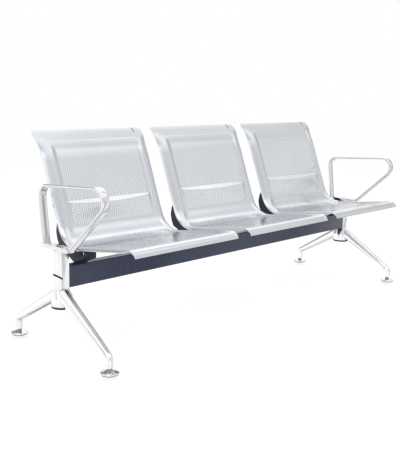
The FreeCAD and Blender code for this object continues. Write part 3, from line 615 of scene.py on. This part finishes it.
@dataclass
class SeatShell:
    """One seat: perforated sheet pressed behind a raised frame, with rolled sides.

    Rows are counted in halves of a row of holes, from the lip's bottom edge up. The holes fill
    three fields, on the pan, at the lumbar crease and on the back. The last seven values are the
    sheet and its points while it is pressed: how far each is from the middle and on which side,
    -1 or 1, how far from the lip when flat and formed, how far out, and how deep behind the frame.
    """

    seat: str
    centre: float
    line: SeatLine = field(default_factory=SeatLine)
    columns: int = 42
    rows: int = 91
    column_pitch: float = 9.3 * MM
    hole_radius: float = 2.35 * MM
    hole_profile: float = 0.0859
    hole_rows: tuple[tuple[int, int], ...] = ((17, 66), (99, 114), (121, 162))
    crease_rows: tuple[int, int] = (115, 120)
    side_steps: tuple[float, ...] = (
        6.0, 5.7, 2.4, 2.4, 2.4, 2.4, 2.4, 2.0, 1.6,
        4.6, 4.6, 4.6, 4.6, 4.6, 4.6, 4.6, 4.2, 2.0,
        1.0, 1.0, 1.0, 1.0, 1.0, 1.0,
    )
    recess: float = 5.5 * MM
    step_foot: float = 207.0 * MM
    step_left: Pair = (195.3 * MM, 221.0 * MM)
    step_right: Pair = (210.5 * MM, 218.6 * MM)
    crest: float = 221.0 * MM
    side_radius: float = 53.7 * MM
    side_turn: float = math.radians(43.1)
    hem_radius: float = 3.0 * MM
    lip_side: float = 0.10
    pan_side: float = 0.62
    side_marks: tuple[float, float, float, float] = (30.0 * MM, 80.0 * MM, 280.0 * MM, 430.0 * MM)
    top_fade: Pair = (738.0 * MM, 778.0 * MM)
    side_fade: Pair = (728.0 * MM, 808.0 * MM)
    ridge_place: float = 777.0 * MM
    ridge_rise: float = 0.9 * MM
    ridge_width: float = 5.0 * MM
    crease_top: float = 541.0 * MM
    belly_foot_row: int = 105
    crease_rise: float = 21.0 * MM
    belly_fullness: float = 0.62
    belly_end: Pair = (188.0 * MM, 209.0 * MM)
    bulge: float = 15.5 * MM
    bulge_foot: float = 440.0 * MM
    lip_corner: Pair = (34.0 * MM, 17.0 * MM)
    top_corner_left: Pair = (7.0 * MM, 5.0 * MM)
    top_corner_right: Pair = (16.0 * MM, 14.0 * MM)
    corner_reach: float = 90.0 * MM
    lip_recess: float = 0.25
    left_shallow: float = 0.7
    left_fade: Pair = (370.0 * MM, 480.0 * MM)
    lip_fade: Pair = (15.0 * MM, 100.0 * MM)
    pan_slide: float = 19.0 * MM
    bend_fade: Pair = (330.0 * MM, 520.0 * MM)
    lip_slide: float = 13.0 * MM
    slide_start: float = 195.0 * MM
    slide_fade: Pair = (20.0 * MM, 110.0 * MM)
    slit_length: float = 26.0 * MM
    slit: Pair = (213.5 * MM, 219.5 * MM)
    slit_depth: float = 0.6 * MM
    top_flare: float = 10.0 * MM
    thickness: float = 1.3 * MM
    sheet: Piece = field(init=False)
    wide: Array = field(init=False)
    side: Array = field(init=False)
    flat_along: Array = field(init=False)
    along: Array = field(init=False)
    across: Array = field(init=False)
    depth: Array = field(init=False)

    @property
    def half_row(self) -> float:
        """Half the pitch of the rows of holes, along the line."""
        return self.line.total() / (self.rows * 2)

    @property
    def half_width(self) -> float:
        """Half the width of the sheet that has holes."""
        return self.columns * self.column_pitch / 2

    @property
    def hem_start(self) -> float:
        """How far from the middle of the flat sheet its hem starts."""
        return self.crest + self.side_radius * self.side_turn

    def flat_sheet(self) -> None:
        """The blank: a grid two by two to each hole's cell."""
        deselect_all()
        bpy.ops.mesh.primitive_grid_add(
            x_subdivisions=self.columns * 2, y_subdivisions=self.rows * 2, size=1.0,
        )
        self.sheet = named(f"seat_{self.seat}_shell")
        edit(self.sheet)
        length = self.line.total()
        bpy.ops.transform.resize(value=(2.0 * self.half_width, length, 1.0))
        bpy.ops.transform.translate(value=(0.0, length / 2, 0.0))
        close()

    def is_hole(self, place: Vector) -> bool:
        """Whether a point of the flat grid is a hole's middle.

        Args:
            place: The point.

        Returns:
            True for every second cell of the staggered rows in a perforated field.
        """
        i = round((place.x + self.half_width) / (self.column_pitch / 2))
        j = round(place.y / self.half_row)
        wanted = any(low <= j <= high for low, high in self.hole_rows)
        return wanted and i % 2 == 1 and ((i - 1) // 2 + j) % 2 == 1

    def perforate(self) -> None:
        """Open the staggered holes, by rounding off the middle of every cell."""
        edit(self.sheet)
        count = pick(Part.VERTEX, lambda _, place: self.is_hole(place))
        bpy.ops.mesh.bevel(
            offset_type="OFFSET", offset=self.hole_radius, segments=2,
            profile=self.hole_profile, affect="VERTICES",
        )
        bpy.ops.mesh.delete(type="FACE")
        close()
        log.info("%s: %d holes", self.sheet.name, count)

    def widen(self) -> None:
        """Draw the plain margin, the ramp, the frame and the rolled edge out of each side."""
        edit(self.sheet)
        for side in Side:
            rim = side.sign * self.half_width
            pick(Part.EDGE, lambda edge, place: edge.is_boundary and abs(place.x - rim) < TOUCH)
            for step in self.side_steps:
                draw_on(Vector((side.sign * step * MM, 0.0, 0.0)))
        close()

    def paint_slit_shadow(self) -> None:
        """Paint the faces of the slit at the top of the right side black, as painted shadow for the
        shade in its gap.
        """
        self.sheet.data.materials.clear()
        # The second slot, the black moulding, serves here only as painted shadow in the slit, not
        # as a real insert.
        for finish in (Finish.SHEET, Finish.PLASTIC):
            self.sheet.data.materials.append(material_of(finish))
        edit(self.sheet)
        top = self.line.total() - self.slit_length
        low, high = self.slit
        pick(Part.FACE, lambda _, place: low < place.x < high and place.y > top)
        bpy.context.object.active_material_index = 1
        bpy.ops.object.material_slot_assign()
        close()

    def _round_corners(self) -> None:
        """Round the sheet's corners, by drawing its ends in beside them."""
        self.along = self.along + self._drawn_in(*self.lip_corner, self.along)
        pairs = zip(self.top_corner_left, self.top_corner_right)
        top_corner = (np.where(self.side < 0, left, right) for left, right in pairs)
        self.along -= self._drawn_in(*top_corner, self.line.total() - self.along)

    def _drawn_in(self, reach: Array | float, rise: Array | float, away: Array) -> Array:
        """How far a corner draws in the sheet's end.

        Args:
            reach: How far the corner reaches in from the side.
            rise: How much it takes off at the side.
            away: The points' distances from this end of the sheet.

        Returns:
            The distance by which each point moves.
        """
        edge = self.crest + self.side_radius * math.sin(self.side_turn)
        half = edge + self.hem_radius * (1.0 - math.sin(self.side_turn))
        share = np.clip((np.minimum(self.wide, half) - (half - reach)) / reach, 0.0, 1.0)
        trim = rise * (1.0 - np.sqrt(1.0 - share * share))
        return trim * np.clip(1.0 - away / self.corner_reach, 0.0, 1.0)

    def _roll_sides(self) -> None:
        """Roll the sides down and hem them. They fall less on the pan and at the ends."""
        wide, along, full = self.wide, self.along, self.side_turn
        turn = np.clip((wide - self.crest) / self.side_radius, 0.0, full)
        curl = full + np.clip((wide - self.hem_start) / self.hem_radius, 0.0, None)
        hemmed = np.where(wide > self.hem_start, self.hem_radius, 0.0)
        rolled = self.crest + self.side_radius * np.sin(turn)
        self.across = np.where(wide > self.crest, rolled, wide)
        self.across += hemmed * (np.sin(curl) - math.sin(full))
        lip_end, pan_start, pan_end, back_start = self.side_marks
        share = self.lip_side + (self.pan_side - self.lip_side) * ramp(along, lip_end, pan_start)
        share += (1.0 - self.pan_side) * ramp(along, pan_end, back_start)
        share *= 1.0 - ramp(along, *self.side_fade)
        self.depth = self.side_radius * (1.0 - np.cos(turn)) * share
        self.depth += hemmed * (math.cos(full) - np.cos(curl))

    def _sink_field(self) -> None:
        """Sink the field behind the frame, with a ridge at its top, and the slit beside it."""
        wide, side, along = self.wide, self.side, self.along
        left_up, right_up = ramp(wide, *self.step_left), ramp(wide, *self.step_right)
        lowered = 1.0 - np.where(side < 0, left_up, right_up)
        leftward = 0.5 - 0.5 * side * np.clip(wide / self.step_foot, 0.0, 1.0)
        sunk = self.recess * lowered * (1.0 - ramp(along, *self.top_fade))
        sunk *= 1.0 - self.left_shallow * leftward * (1.0 - ramp(along, *self.left_fade))
        sunk *= self.lip_recess + (1.0 - self.lip_recess) * ramp(along, *self.lip_fade)
        ridge = self.ridge_rise * np.exp(-((along - self.ridge_place) / self.ridge_width) ** 2)
        left, right = self.slit
        in_slit = (side * wide > left) & (side * wide < right)
        in_slit &= self.flat_along > self.line.total() - self.slit_length
        self.depth += sunk - ridge * lowered + np.where(in_slit, self.slit_depth, 0.0)

    def _draw_crease(self) -> None:
        """Draw the lumbar crease down to a crescent and swell the sheet under it."""
        along = self.along
        share = 1.0 - self.belly_fullness * (self.wide / self.step_foot) ** 2
        share *= 1.0 - ramp(self.wide, *self.belly_end)
        rows = (self.belly_foot_row, *self.crease_rows, self.hole_rows[-1][0] + 1)
        foot, crease, ledge, above = (row * self.half_row for row in rows)
        belly = self.crease_top - self.crease_rise * share
        under = (along > foot) & (along <= crease)
        on_ledge = (along > crease) & (along <= ledge)
        over = (along > ledge) & (along < above)
        drop = np.clip((ledge - along) / (ledge - crease), 0.0, 1.0)
        self.depth -= self.bulge * share * drop * ramp(along, self.bulge_foot, crease)
        lowered = foot + (along - foot) * (belly - foot) / (crease - foot)
        squeezed = belly + (along - crease) * (self.crease_top - belly) / (ledge - crease)
        drawn = self.crease_top + (along - ledge) * (above - self.crease_top) / (above - ledge)
        self.along = np.select([under, on_ledge, over], [lowered, squeezed, drawn], along)

    def _draw_out(self) -> None:
        """Draw the frame outwards: a flare at the left of the crown, narrow rims below."""
        rolled = np.clip((self.wide - self.crest) / (self.hem_start - self.crest), 0.0, 1.0)
        flare = self.top_flare * ramp(self.along, *self.side_fade) * (self.side < 0)
        slide = self.pan_slide * (1.0 - ramp(self.flat_along, *self.bend_fade))
        slide += self.lip_slide * (1.0 - ramp(self.flat_along, *self.slide_fade))
        drawn = (self.wide - self.slide_start) / (self.step_foot - self.slide_start)
        slide *= np.clip(drawn, 0.0, 1.0)
        self.across += flare * rolled + slide * (1.0 - rolled)

    def press(self) -> None:
        """Press the flat blank into the seat's shape."""
        flat = np.zeros(len(self.sheet.data.vertices) * 3)
        self.sheet.data.vertices.foreach_get("co", flat)
        flat_across, self.flat_along = flat.reshape(-1, 3)[:, :2].T
        self.wide, self.side = np.abs(flat_across), np.sign(flat_across)
        self.along = self.flat_along
        self._round_corners()
        self._roll_sides()
        self._sink_field()
        self._draw_crease()
        self._draw_out()
        y, z, heading = self.line.at(self.along)
        formed = np.stack([
            self.centre + self.side * self.across,
            y + self.depth * np.sin(heading),
            z - self.depth * np.cos(heading),
        ], axis=1)
        self.sheet.data.vertices.foreach_set("co", formed.ravel())
        self.sheet.data.update()

    def build(self) -> None:
        """Make the shell and put it in place."""
        self.flat_sheet()
        self.perforate()
        self.widen()
        # Paints the slit's faces black as painted shadow.
        self.paint_slit_shadow()
        self.press()
        modify(
            self.sheet, "SOLIDIFY", thickness=self.thickness, offset=-1.0, use_even_offset=True,
        )
        install(self.sheet, "frame", f"seat_shell_{self.seat}", degrees=30.0)


# Armrests


@dataclass
class ArmLoop:
    """An armrest: one flat bar bent from upright to rest to strut."""

    side: Side
    plane: float = 903.0 * MM
    base_top: float = 392.0 * MM
    column_top: float = 377.0 * MM
    width: float = 33.0 * MM
    depth: float = 12.0 * MM
    section_sides: int = 56
    squareness: float = 3.2
    corners: Stops = (
        (74.0 * MM, 0.0), (102.0 * MM, 221.0 * MM), (-344.0 * MM, 252.0 * MM), (-63.0 * MM, 0.0),
    )
    radii: Pair = (44.0 * MM, 45.0 * MM)
    bend_steps: int = 28
    sunk: float = 0.6 * MM

    def build(self) -> None:
        """Bend the bar and put it in place."""
        x = self.side.sign * self.plane
        places = [Vector((x, BEAM_AXIS + y, self.column_top + z)) for y, z in self.corners]
        foot = self.base_top - self.sunk
        start = self._at_height(places[0], places[1], foot)
        stop = self._at_height(places[3], places[2], foot)
        places = [start, *places[1:3], stop]
        ways = [(after - before).normalized() for before, after in zip(places, places[1:])]
        bar = self._section(places[0], ways[0])
        done = 0.0
        for i, radius in enumerate(self.radii):
            before, corner = places[i], places[i + 1]
            turn = ways[i].angle(ways[i + 1])
            setback = radius * math.tan(turn / 2)
            draw_on(ways[i] * ((corner - before).length - setback - done))
            inward = (ways[i + 1] - ways[i]).normalized()
            centre = corner + inward * (radius / math.cos(turn / 2))
            bpy.ops.mesh.spin(
                steps=self.bend_steps, angle=-turn, center=centre, axis=(1.0, 0.0, 0.0),
                dupli=False,
            )
            done = setback
        draw_on(ways[2] * ((places[3] - places[2]).length - done))
        close()
        outward(bar)
        install(bar, "frame", f"arm_loop_{self.side.value}", degrees=40.0, finish=Finish.CHROME)

    def _section(self, start: Vector, way: Vector) -> Piece:
        """The bar's first face, open for editing and selected.

        Args:
            start: The bar's first place.
            way: The direction in which it goes on.

        Returns:
            The bar that has only this face.
        """
        heading = math.atan2(way.z, way.y)
        deselect_all()
        bpy.ops.mesh.primitive_circle_add(
            vertices=self.section_sides, radius=1.0, fill_type="NGON", location=start,
            rotation=(heading - math.pi / 2, 0.0, 0.0),
        )
        bar = named(f"arm_{self.side.value}_bar")
        for point in bar.data.vertices:
            point.co.x = self._squared(point.co.x) * self.width / 2
            point.co.y = self._squared(point.co.y) * self.depth / 2
        settle(bar)
        edit(bar)
        pick(Part.FACE, lambda *_: True)
        return bar

    def _squared(self, share: float) -> float:
        """Where a circle's point lies on the bar's cushion-shaped section."""
        return math.copysign(abs(share) ** (2.0 / self.squareness), share)

    @staticmethod
    def _at_height(low: Vector, high: Vector, z: float) -> Vector:
        """The point between two others at a height."""
        return low.lerp(high, (z - low.z) / (high.z - low.z))


# Pieces that keep the solid's shape, with softened edges


@dataclass(frozen=True)
class Softened:
    """A piece that keeps a solid's shape and gets rounded edges and smooth shading."""

    node: str
    finish: Finish
    edge: float
    segments: int = 3
    flat_angle: float = math.radians(0.4)
    edge_angle: float = math.radians(35.0)

    def build(self) -> None:
        """Copy the solid, round its edges and put it in place."""
        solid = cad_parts[self.node]
        piece = bpy.data.objects.new(f"{self.node}_piece", solid.data.copy())
        bpy.context.scene.collection.objects.link(piece)
        normals = piece.data.attributes.get("custom_normal")
        if normals:
            piece.data.attributes.remove(normals)
        edit(piece)
        bpy.ops.mesh.remove_doubles(threshold=TOUCH)
        bpy.ops.mesh.dissolve_limited(angle_limit=self.flat_angle)
        close()
        modify(
            piece, "BEVEL", width=self.edge, segments=self.segments, limit_method="ANGLE",
            angle_limit=self.edge_angle, use_clamp_overlap=True, harden_normals=False,
        )
        install(piece, "frame", self.node, degrees=40.0, finish=self.finish)


@dataclass
class Carcass:
    """Beam, columns, hubs, brackets and their fasteners, with the size of their rounded edges."""

    at_ends: tuple[tuple[str, Finish, float], ...] = (
        ("beam_end_plate", Finish.BEAM, 0.4 * MM), ("beam_end_bolts", Finish.ZINC, 0.3 * MM),
        ("column", Finish.CASTING, 1.0 * MM), ("column_top_plate", Finish.CASTING, 0.4 * MM),
        ("leg_trim", Finish.BRACKET, 0.3 * MM), ("hub", Finish.CASTING, 1.2 * MM),
        ("hub_plug", Finish.PLASTIC, 1.2 * MM), ("arm_base", Finish.CHROME, 1.6 * MM),
        ("arm_bolts", Finish.ZINC, 0.4 * MM),
    )

    def build(self) -> None:
        """Make every piece of the carcass."""
        Softened("beam", Finish.BEAM, 0.4 * MM).build()
        for side in Side:
            for name, finish, edge in self.at_ends:
                Softened(f"{name}_{side.value}", finish, edge).build()
        for seat in SEAT_CENTRES:
            Softened(f"bracket_bolts_{seat}", Finish.ZINC, 0.4 * MM).build()
            Softened(f"seat_studs_{seat}", Finish.ZINC, 0.3 * MM).build()
            for side in Side:
                Softened(f"seat_bracket_{seat}{side.value}", Finish.BRACKET, 0.8 * MM).build()


@dataclass(frozen=True)
class LegForm:
    """A leg's side view: distances from the beam's axis, heights from the floor."""

    reach: float
    crown: float
    shoulder: float
    arch: float


@dataclass
class CastLeg:
    """A polished leg: deep and wide at the hub, drawn out to the elbow, with an upright boss."""

    end: End
    side: Side
    plane: float = 905.0 * MM
    front: LegForm = LegForm(283.0 * MM, 25.0 * MM, 64.0 * MM, 60.6 * MM)
    rear: LegForm = LegForm(266.0 * MM, 28.0 * MM, 74.0 * MM, 55.5 * MM)
    boss_width: float = 30.0 * MM
    boss_depth: float = 28.0 * MM
    boss_low: float = 24.0 * MM
    corner: float = 13.4 * MM
    corner_steps: int = 10
    elbow_inside: float = 10.0 * MM
    elbow_steps: int = 14
    root_width: float = 46.0 * MM
    root_shift: float = 8.0 * MM
    root_height: float = 66.0 * MM
    root_under: float = 45.0 * MM
    least_depth: float = 16.0 * MM
    stations: tuple[float, ...] = (0.10, 0.45, 0.75, 1.0)

    def build(self) -> None:
        """Draw the leg from its boss up to the hub."""
        way = -1.0 if self.end is End.FRONT else 1.0
        form = self.front if self.end is End.FRONT else self.rear
        node = f"{self.end.value}_leg_{self.side.value}"
        x, half = self.side.sign * self.plane, self.boss_depth / 2
        hub_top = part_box(node)[1][2]
        top_root = Vector((x, BEAM_AXIS + way * form.crown, hub_top))
        top_elbow = Vector((x, BEAM_AXIS + way * (form.reach + half), form.shoulder))
        slope = math.atan2(top_root.z - top_elbow.z, abs(top_root.y - top_elbow.y))
        turn = math.pi / 2 - slope
        outside = self.elbow_inside + self.boss_depth
        centre = Vector((x, BEAM_AXIS + way * (form.reach - half - self.elbow_inside), 0.0))
        centre.z = top_elbow.z - outside * math.tan(turn / 2)

        leg = self._boss(f"{node}_casting", x, BEAM_AXIS + way * form.reach)
        draw_on(Vector((0.0, 0.0, centre.z - self.boss_low)))
        bpy.ops.mesh.spin(
            steps=self.elbow_steps, angle=-way * turn, center=centre, axis=(1.0, 0.0, 0.0),
            dupli=False,
        )
        along = Vector((0.0, -way * math.cos(slope), math.sin(slope)))
        across = Vector((0.0, way * math.sin(slope), math.cos(slope)))
        top = centre + across * outside
        length = (top_root - top).dot(along)
        under = Vector((x, BEAM_AXIS + way * (form.reach - half), form.arch))
        under_root = Vector((x, BEAM_AXIS + way * self.root_under, hub_top - self.root_height))
        belly = (under_root - under).normalized()
        passed = 0.0
        for share in self.stations:
            step = along * (length * share - passed)
            passed = length * share
            draw_on(step)
            here = top + along * passed
            below = under + belly * ((here - under).dot(along) / belly.dot(along))
            self._fit(leg, here, across, max((here - below).dot(across), self.least_depth), share)
        close()
        outward(leg)
        install(leg, "frame", node, degrees=45.0, finish=Finish.CASTING)

    def _boss(self, name: str, x: float, y: float) -> Piece:
        """Start the leg with its boss's rounded underside.

        Args:
            name: The leg's name.
            x: The boss's middle along the beam.
            y: The boss's middle across it.

        Returns:
            The leg, open for editing with that face selected.
        """
        deselect_all()
        bpy.ops.mesh.primitive_plane_add(size=1.0, location=(x, y, self.boss_low))
        leg = named(name)
        leg.scale = (self.boss_width, self.boss_depth, 1.0)
        settle(leg)
        edit(leg)
        bpy.ops.mesh.bevel(offset=self.corner, segments=self.corner_steps, affect="VERTICES")
        pick(Part.FACE, lambda *_: True)
        return leg

    def _fit(self, leg: Piece, top: Vector, across: Vector, depth: float, share: float) -> None:
        """Bring the section that is selected to its depth and width.

        Args:
            leg: The leg, open for editing.
            top: The section's highest point.
            across: The way up, at right angles to the leg.
            depth: The section's depth.
            share: How far it is from elbow to hub, from 0 to 1.
        """
        width = self.boss_width + (self.root_width - self.boss_width) * share
        middle = self.side.sign * (self.plane - self.root_shift * share)
        mesh = bmesh.from_edit_mesh(leg.data)
        chosen = [vertex for vertex in mesh.verts if vertex.select]
        spans = [(vertex.co - top).dot(across) for vertex in chosen]
        deep = max(spans) - min(spans)
        left, right = (extreme(vertex.co.x for vertex in chosen) for extreme in (min, max))
        for vertex, span in zip(chosen, spans):
            vertex.co -= across * (span * (1.0 - depth / deep))
            vertex.co.x = middle + (vertex.co.x - (left + right) / 2) * width / (right - left)
        bmesh.update_edit_mesh(leg.data)


def turned(name: str, middle: Vector, profile: list[Pair], sides: int = 72) -> Piece:
    """Turn a solid piece by drawing a disc up from ring to ring.

    Args:
        name: The piece's name.
        middle: The axis, at height zero.
        profile: Radius and height of each ring, from the bottom up.
        sides: How many sides the rings have.

    Returns:
        The closed piece.
    """
    radius, low = profile[0]
    deselect_all()
    bpy.ops.mesh.primitive_circle_add(
        vertices=sides, radius=radius, fill_type="NGON", location=middle + Vector((0.0, 0.0, low)),
    )
    piece = named(name)
    settle(piece)
    edit(piece, Part.FACE)
    for (before, height), (after, top) in zip(profile, profile[1:]):
        draw_on(Vector((0.0, 0.0, top - height)))
        share = after / before
        bpy.ops.transform.resize(value=(share, share, 1.0), center_override=middle)
    close()
    outward(piece)
    return piece


@dataclass
class LevellingFoot:
    """One foot: pad and glide on their own body, threaded stud on another, locknut on the leg.

    The rings of pad and glide give radius and height in millimetres.
    """

    end: End
    side: Side
    pad_rings: Stops = (
        (31.6, 2.5), (32.7, 2.9), (33.0, 3.6), (33.0, 6.6), (32.6, 7.8), (31.4, 8.8), (28.0, 9.9),
        (23.0, 11.3), (18.0, 12.9), (14.0, 14.3), (11.4, 15.6), (10.2, 16.6), (9.4, 17.1),
        (6.0, 17.4),
    )
    glide_rings: Stops = ((30.4, 0.0), (31.5, 0.6), (31.5, 2.5))
    thread_pitch: float = 1.5 * MM
    thread_root: float = 4.15 * MM
    tip_share: float = 0.9
    stud_sides: int = 24

    def build(self) -> None:
        """Make the foot's four pieces."""
        stem = f"{self.end.value}_foot_{self.side.value}"
        word = "left" if self.side is Side.LEFT else "right"
        body = f"{self.end.value}_{word}"
        low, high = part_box(f"{stem}_pad")
        middle = Vector(((low[0] + high[0]) / 2, (low[1] + high[1]) / 2, 0.0))
        for rings, finish, node in (
            (self.pad_rings, Finish.CHROME, "pad"), (self.glide_rings, Finish.PLASTIC, "base"),
        ):
            profile = [(radius * MM, height * MM) for radius, height in rings]
            piece = turned(f"{stem}_{node}_turned", middle, profile)
            install(piece, f"{body}_foot", f"{stem}_{node}", degrees=50.0, finish=finish)
        self._stud(stem, middle, f"{body}_stud")
        Softened(f"{stem}_locknut", Finish.ZINC, 0.5 * MM).build()

    def _stud(self, stem: str, middle: Vector, body: str) -> None:
        """Turn the stud with its thread's ridges.

        Args:
            stem: The start of the foot's names.
            middle: The foot's axis.
            body: The stud's body.
        """
        low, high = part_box(f"{stem}_stud")
        radius = (high[0] - low[0]) / 2
        bottom, top = low[2], high[2]
        rings = [(self.thread_root, bottom)]
        count = int((top - bottom) / self.thread_pitch)
        for turn in range(count):
            ridge = bottom + (turn + 0.5) * self.thread_pitch
            rings.append((radius, ridge))
            rings.append((self.thread_root, ridge + self.thread_pitch / 2))
        rings.append((self.thread_root * self.tip_share, top))
        stud = turned(f"{stem}_stud_threaded", middle, rings, self.stud_sides)
        install(stud, body, f"{stem}_stud", degrees=25.0, finish=Finish.ZINC)


# Studio


@dataclass(frozen=True)
class Lamp:
    """One soft box over or beside the bench, that mirrors don't show."""

    name: str
    place: Triple
    aim: Triple
    size: Pair
    watts: float

    def build(self) -> None:
        """Hang the lamp."""
        data = bpy.data.lights.new(self.name, "AREA")
        data.shape = "RECTANGLE"
        data.size, data.size_y = self.size
        data.energy = self.watts
        lamp = bpy.data.objects.new(self.name, data)
        bpy.context.scene.collection.objects.link(lamp)
        lamp.location = self.place
        lamp.visible_glossy = False
        way = Vector(self.aim) - Vector(self.place)
        lamp.rotation_mode = "QUATERNION"
        lamp.rotation_quaternion = way.to_track_quat("-Z", "Y")


@dataclass
class Studio:
    """Pale floor, white surroundings, soft lamps and the camera.

    Polished metal mirrors a room whose brightness follows the height and the bearing, in
    degrees. The bearing is 0 in front of the bench and grows to its right.
    """

    floor_half: float = 14.0
    floor_drop: float = 15.2 * MM
    floor_colour: tuple[float, ...] = (0.86, 0.86, 0.86, 1.0)
    floor_glow: float = 1.16
    glow_share: float = 0.75
    white: tuple[float, ...] = (1.0, 1.0, 1.0, 1.0)
    sky_colour: tuple[float, ...] = (0.98, 0.99, 1.0, 1.0)
    sky_strength: float = 0.55
    room_strength: float = 1.7
    rise_stops: Stops = (
        (-70.0, 0.50), (-48.0, 0.60), (-18.0, 0.73), (-7.0, 0.73), (4.0, 0.64), (18.0, 0.61),
        (28.0, 0.58), (36.0, 0.76), (43.0, 0.88), (52.0, 0.78), (66.0, 0.76),
    )
    bearing_stops: Stops = (
        (-180.0, 0.35), (-158.0, 0.35), (-146.0, 1.0), (-106.0, 1.0), (-98.0, 0.4), (-86.0, 0.4),
        (-78.0, 1.5), (-52.0, 1.5), (-44.0, 0.95), (-34.0, 0.9), (-16.0, 0.78), (8.0, 0.80),
        (30.0, 0.89), (46.0, 0.90), (56.0, 0.93), (64.0, 0.88), (80.0, 0.66), (93.0, 0.68),
        (104.0, 1.08), (112.0, 1.2), (140.0, 1.15), (152.0, 1.0), (164.0, 0.35),
    )
    wall_stops: Stops = ((-10.0, 1.0), (46.0, 1.0), (64.0, 0.0))
    low_bearing_stops: Stops = (
        (-178.0, 1.0), (-108.0, 1.0), (-98.0, 0.85), (-88.0, 1.0), (-66.0, 1.0), (-57.0, 0.8),
        (-47.0, 1.0), (-24.0, 0.95), (-14.0, 0.75), (-4.0, 1.0), (22.0, 1.0), (32.0, 0.4),
        (42.0, 0.95), (52.0, 0.95), (62.0, 0.35), (72.0, 0.9), (84.0, 1.0), (98.0, 0.85),
        (112.0, 0.45), (124.0, 0.95), (150.0, 0.92),
    )
    low_stops: Stops = ((-60.0, 0.0), (-28.0, 1.0), (5.0, 1.0), (11.0, 0.0))
    lens: float = 58.46
    sensor_width: float = 36.0
    clip_end: float = 60.0
    camera_place: Triple = (-2.3703, -2.0763, 0.9590)
    azimuth: float = math.radians(-46.15)
    elevation: float = math.radians(10.83)
    roll: float = math.radians(1.34)
    lamps: tuple[Lamp, ...] = (
        Lamp("lamp_over", (-0.3, -0.6, 3.2), (0.0, 0.0, 0.3), (3.4, 2.2), 90.0),
        Lamp("lamp_left", (-3.2, -1.2, 1.9), (0.0, 0.0, 0.5), (1.6, 1.8), 30.0),
        Lamp("lamp_right", (2.8, -2.2, 1.8), (0.2, 0.0, 0.5), (1.8, 1.8), 26.0),
    )

    def build(self) -> None:
        """Set the studio up."""
        bpy.context.scene.view_settings.view_transform = "Standard"
        self._floor()
        self._world()
        for lamp in self.lamps:
            lamp.build()
        self._camera()

    def _floor(self) -> None:
        """A pale floor that keeps a faint shadow, low enough for the feet's full reach."""
        deselect_all()
        place = (0.0, 0.0, -self.floor_drop)
        bpy.ops.mesh.primitive_plane_add(size=2.0 * self.floor_half, location=place)
        floor = named("studio_floor")
        material = bpy.data.materials.new("studio_floor")
        tree = Tree(material)
        matt = tree.node("BsdfDiffuse", Color=self.floor_colour).outputs[0]
        glow = tree.node("Emission", Strength=self.floor_glow).outputs[0]
        shadowed = tree.choose(self.glow_share, matt, glow)
        tree.node("OutputMaterial", Surface=tree.choose(tree.seen_directly(), matt, shadowed))
        floor.data.materials.append(material)
        floor.visible_glossy = False

    @staticmethod
    def _ramp(tree: Tree, angle: Socket, greatest: float, stops: Stops) -> Socket:
        """A brightness that follows an angle.

        Args:
            tree: The world's node tree.
            angle: The angle's socket, in radians.
            greatest: The greatest angle, in degrees. The least is its opposite.
            stops: Angles in degrees, and the brightness at each.

        Returns:
            The brightness socket.
        """
        share = tree.node("MapRange", Value=angle, From_Min=math.radians(-greatest),
                          From_Max=math.radians(greatest))
        node = tree.node("ValToRGB", Fac=share.outputs["Result"])
        node.color_ramp.interpolation = "EASE"
        elements = node.color_ramp.elements
        while len(elements) < len(stops):
            elements.new(0.5)
        for element, (place, bright) in zip(elements, stops):
            element.position = (place + greatest) / (2.0 * greatest)
            element.color = (bright, bright, bright, 1.0)
        return node.outputs["Color"]

    def _room(self, tree: Tree) -> Socket:
        """The bright room that polished metal mirrors: a ceiling, soft boxes and grey gaps between.

        Args:
            tree: The world's node tree.

        Returns:
            The room's brightness.
        """
        way = tree.node("SeparateXYZ", Vector=tree.node("TexCoord").outputs["Generated"])
        height = tree.math("ARCSINE", way.outputs["Z"])
        forward = tree.math("MULTIPLY", way.outputs["Y"], -1.0)
        bearing = tree.math("ARCTAN2", way.outputs["X"], forward)
        rise, low_down, skirting = (
            self._ramp(tree, height, 90.0, stops)
            for stops in (self.rise_stops, self.wall_stops, self.low_stops)
        )
        round_about, streaks = (
            self._ramp(tree, bearing, 180.0, stops)
            for stops in (self.bearing_stops, self.low_bearing_stops)
        )
        walls = tree.mix(low_down, self.white, round_about)
        ground = tree.mix(skirting, walls, streaks)
        return tree.mix(1.0, rise, ground, "MULTIPLY")

    def _world(self) -> None:
        """White surroundings for the camera, a room for mirrors and a soft sky for all else."""
        world = bpy.data.worlds.new("studio")
        bpy.context.scene.world = world
        tree = Tree(world)
        plain, room, light = (
            tree.node("Background", Color=colour, Strength=strength).outputs[0]
            for colour, strength in ((self.white, 1.0), (self._room(tree), self.room_strength),
                                     (self.sky_colour, self.sky_strength))
        )
        mirrored = tree.choose(tree.node("LightPath").outputs["Is Camera Ray"], room, plain)
        tree.node("OutputWorld", Surface=tree.choose(tree.seen_directly(), light, mirrored))

    def _camera(self) -> None:
        """The photograph's viewpoint."""
        data = bpy.data.cameras.new("camera")
        data.lens = self.lens
        data.sensor_width = self.sensor_width
        data.clip_end = self.clip_end
        camera = bpy.data.objects.new("camera", data)
        bpy.context.scene.collection.objects.link(camera)
        a, e = self.azimuth, self.elevation
        back = Vector((math.sin(a) * math.cos(e), -math.cos(a) * math.cos(e), math.sin(e)))
        right = Vector((math.cos(a), math.sin(a), 0.0))
        up = back.cross(right)
        tilted = math.cos(self.roll) * right + math.sin(self.roll) * up
        upright = math.cos(self.roll) * up - math.sin(self.roll) * right
        turn = Matrix((tilted, upright, back)).transposed().to_4x4()
        camera.matrix_world = Matrix.Translation(self.camera_place) @ turn
        bpy.context.scene.camera = camera


def main() -> None:
    """Build the bench and its studio."""
    logging.basicConfig(level=logging.INFO, format="%(message)s", force=True)
    Studio().build()
    for seat, centre in SEAT_CENTRES.items():
        SeatShell(seat, centre).build()
    for side in Side:
        ArmLoop(side).build()
    Carcass().build()
    for side in Side:
        for end in End:
            CastLeg(end, side).build()
            LevellingFoot(end, side).build()


if __name__ == "__main__":
    main()
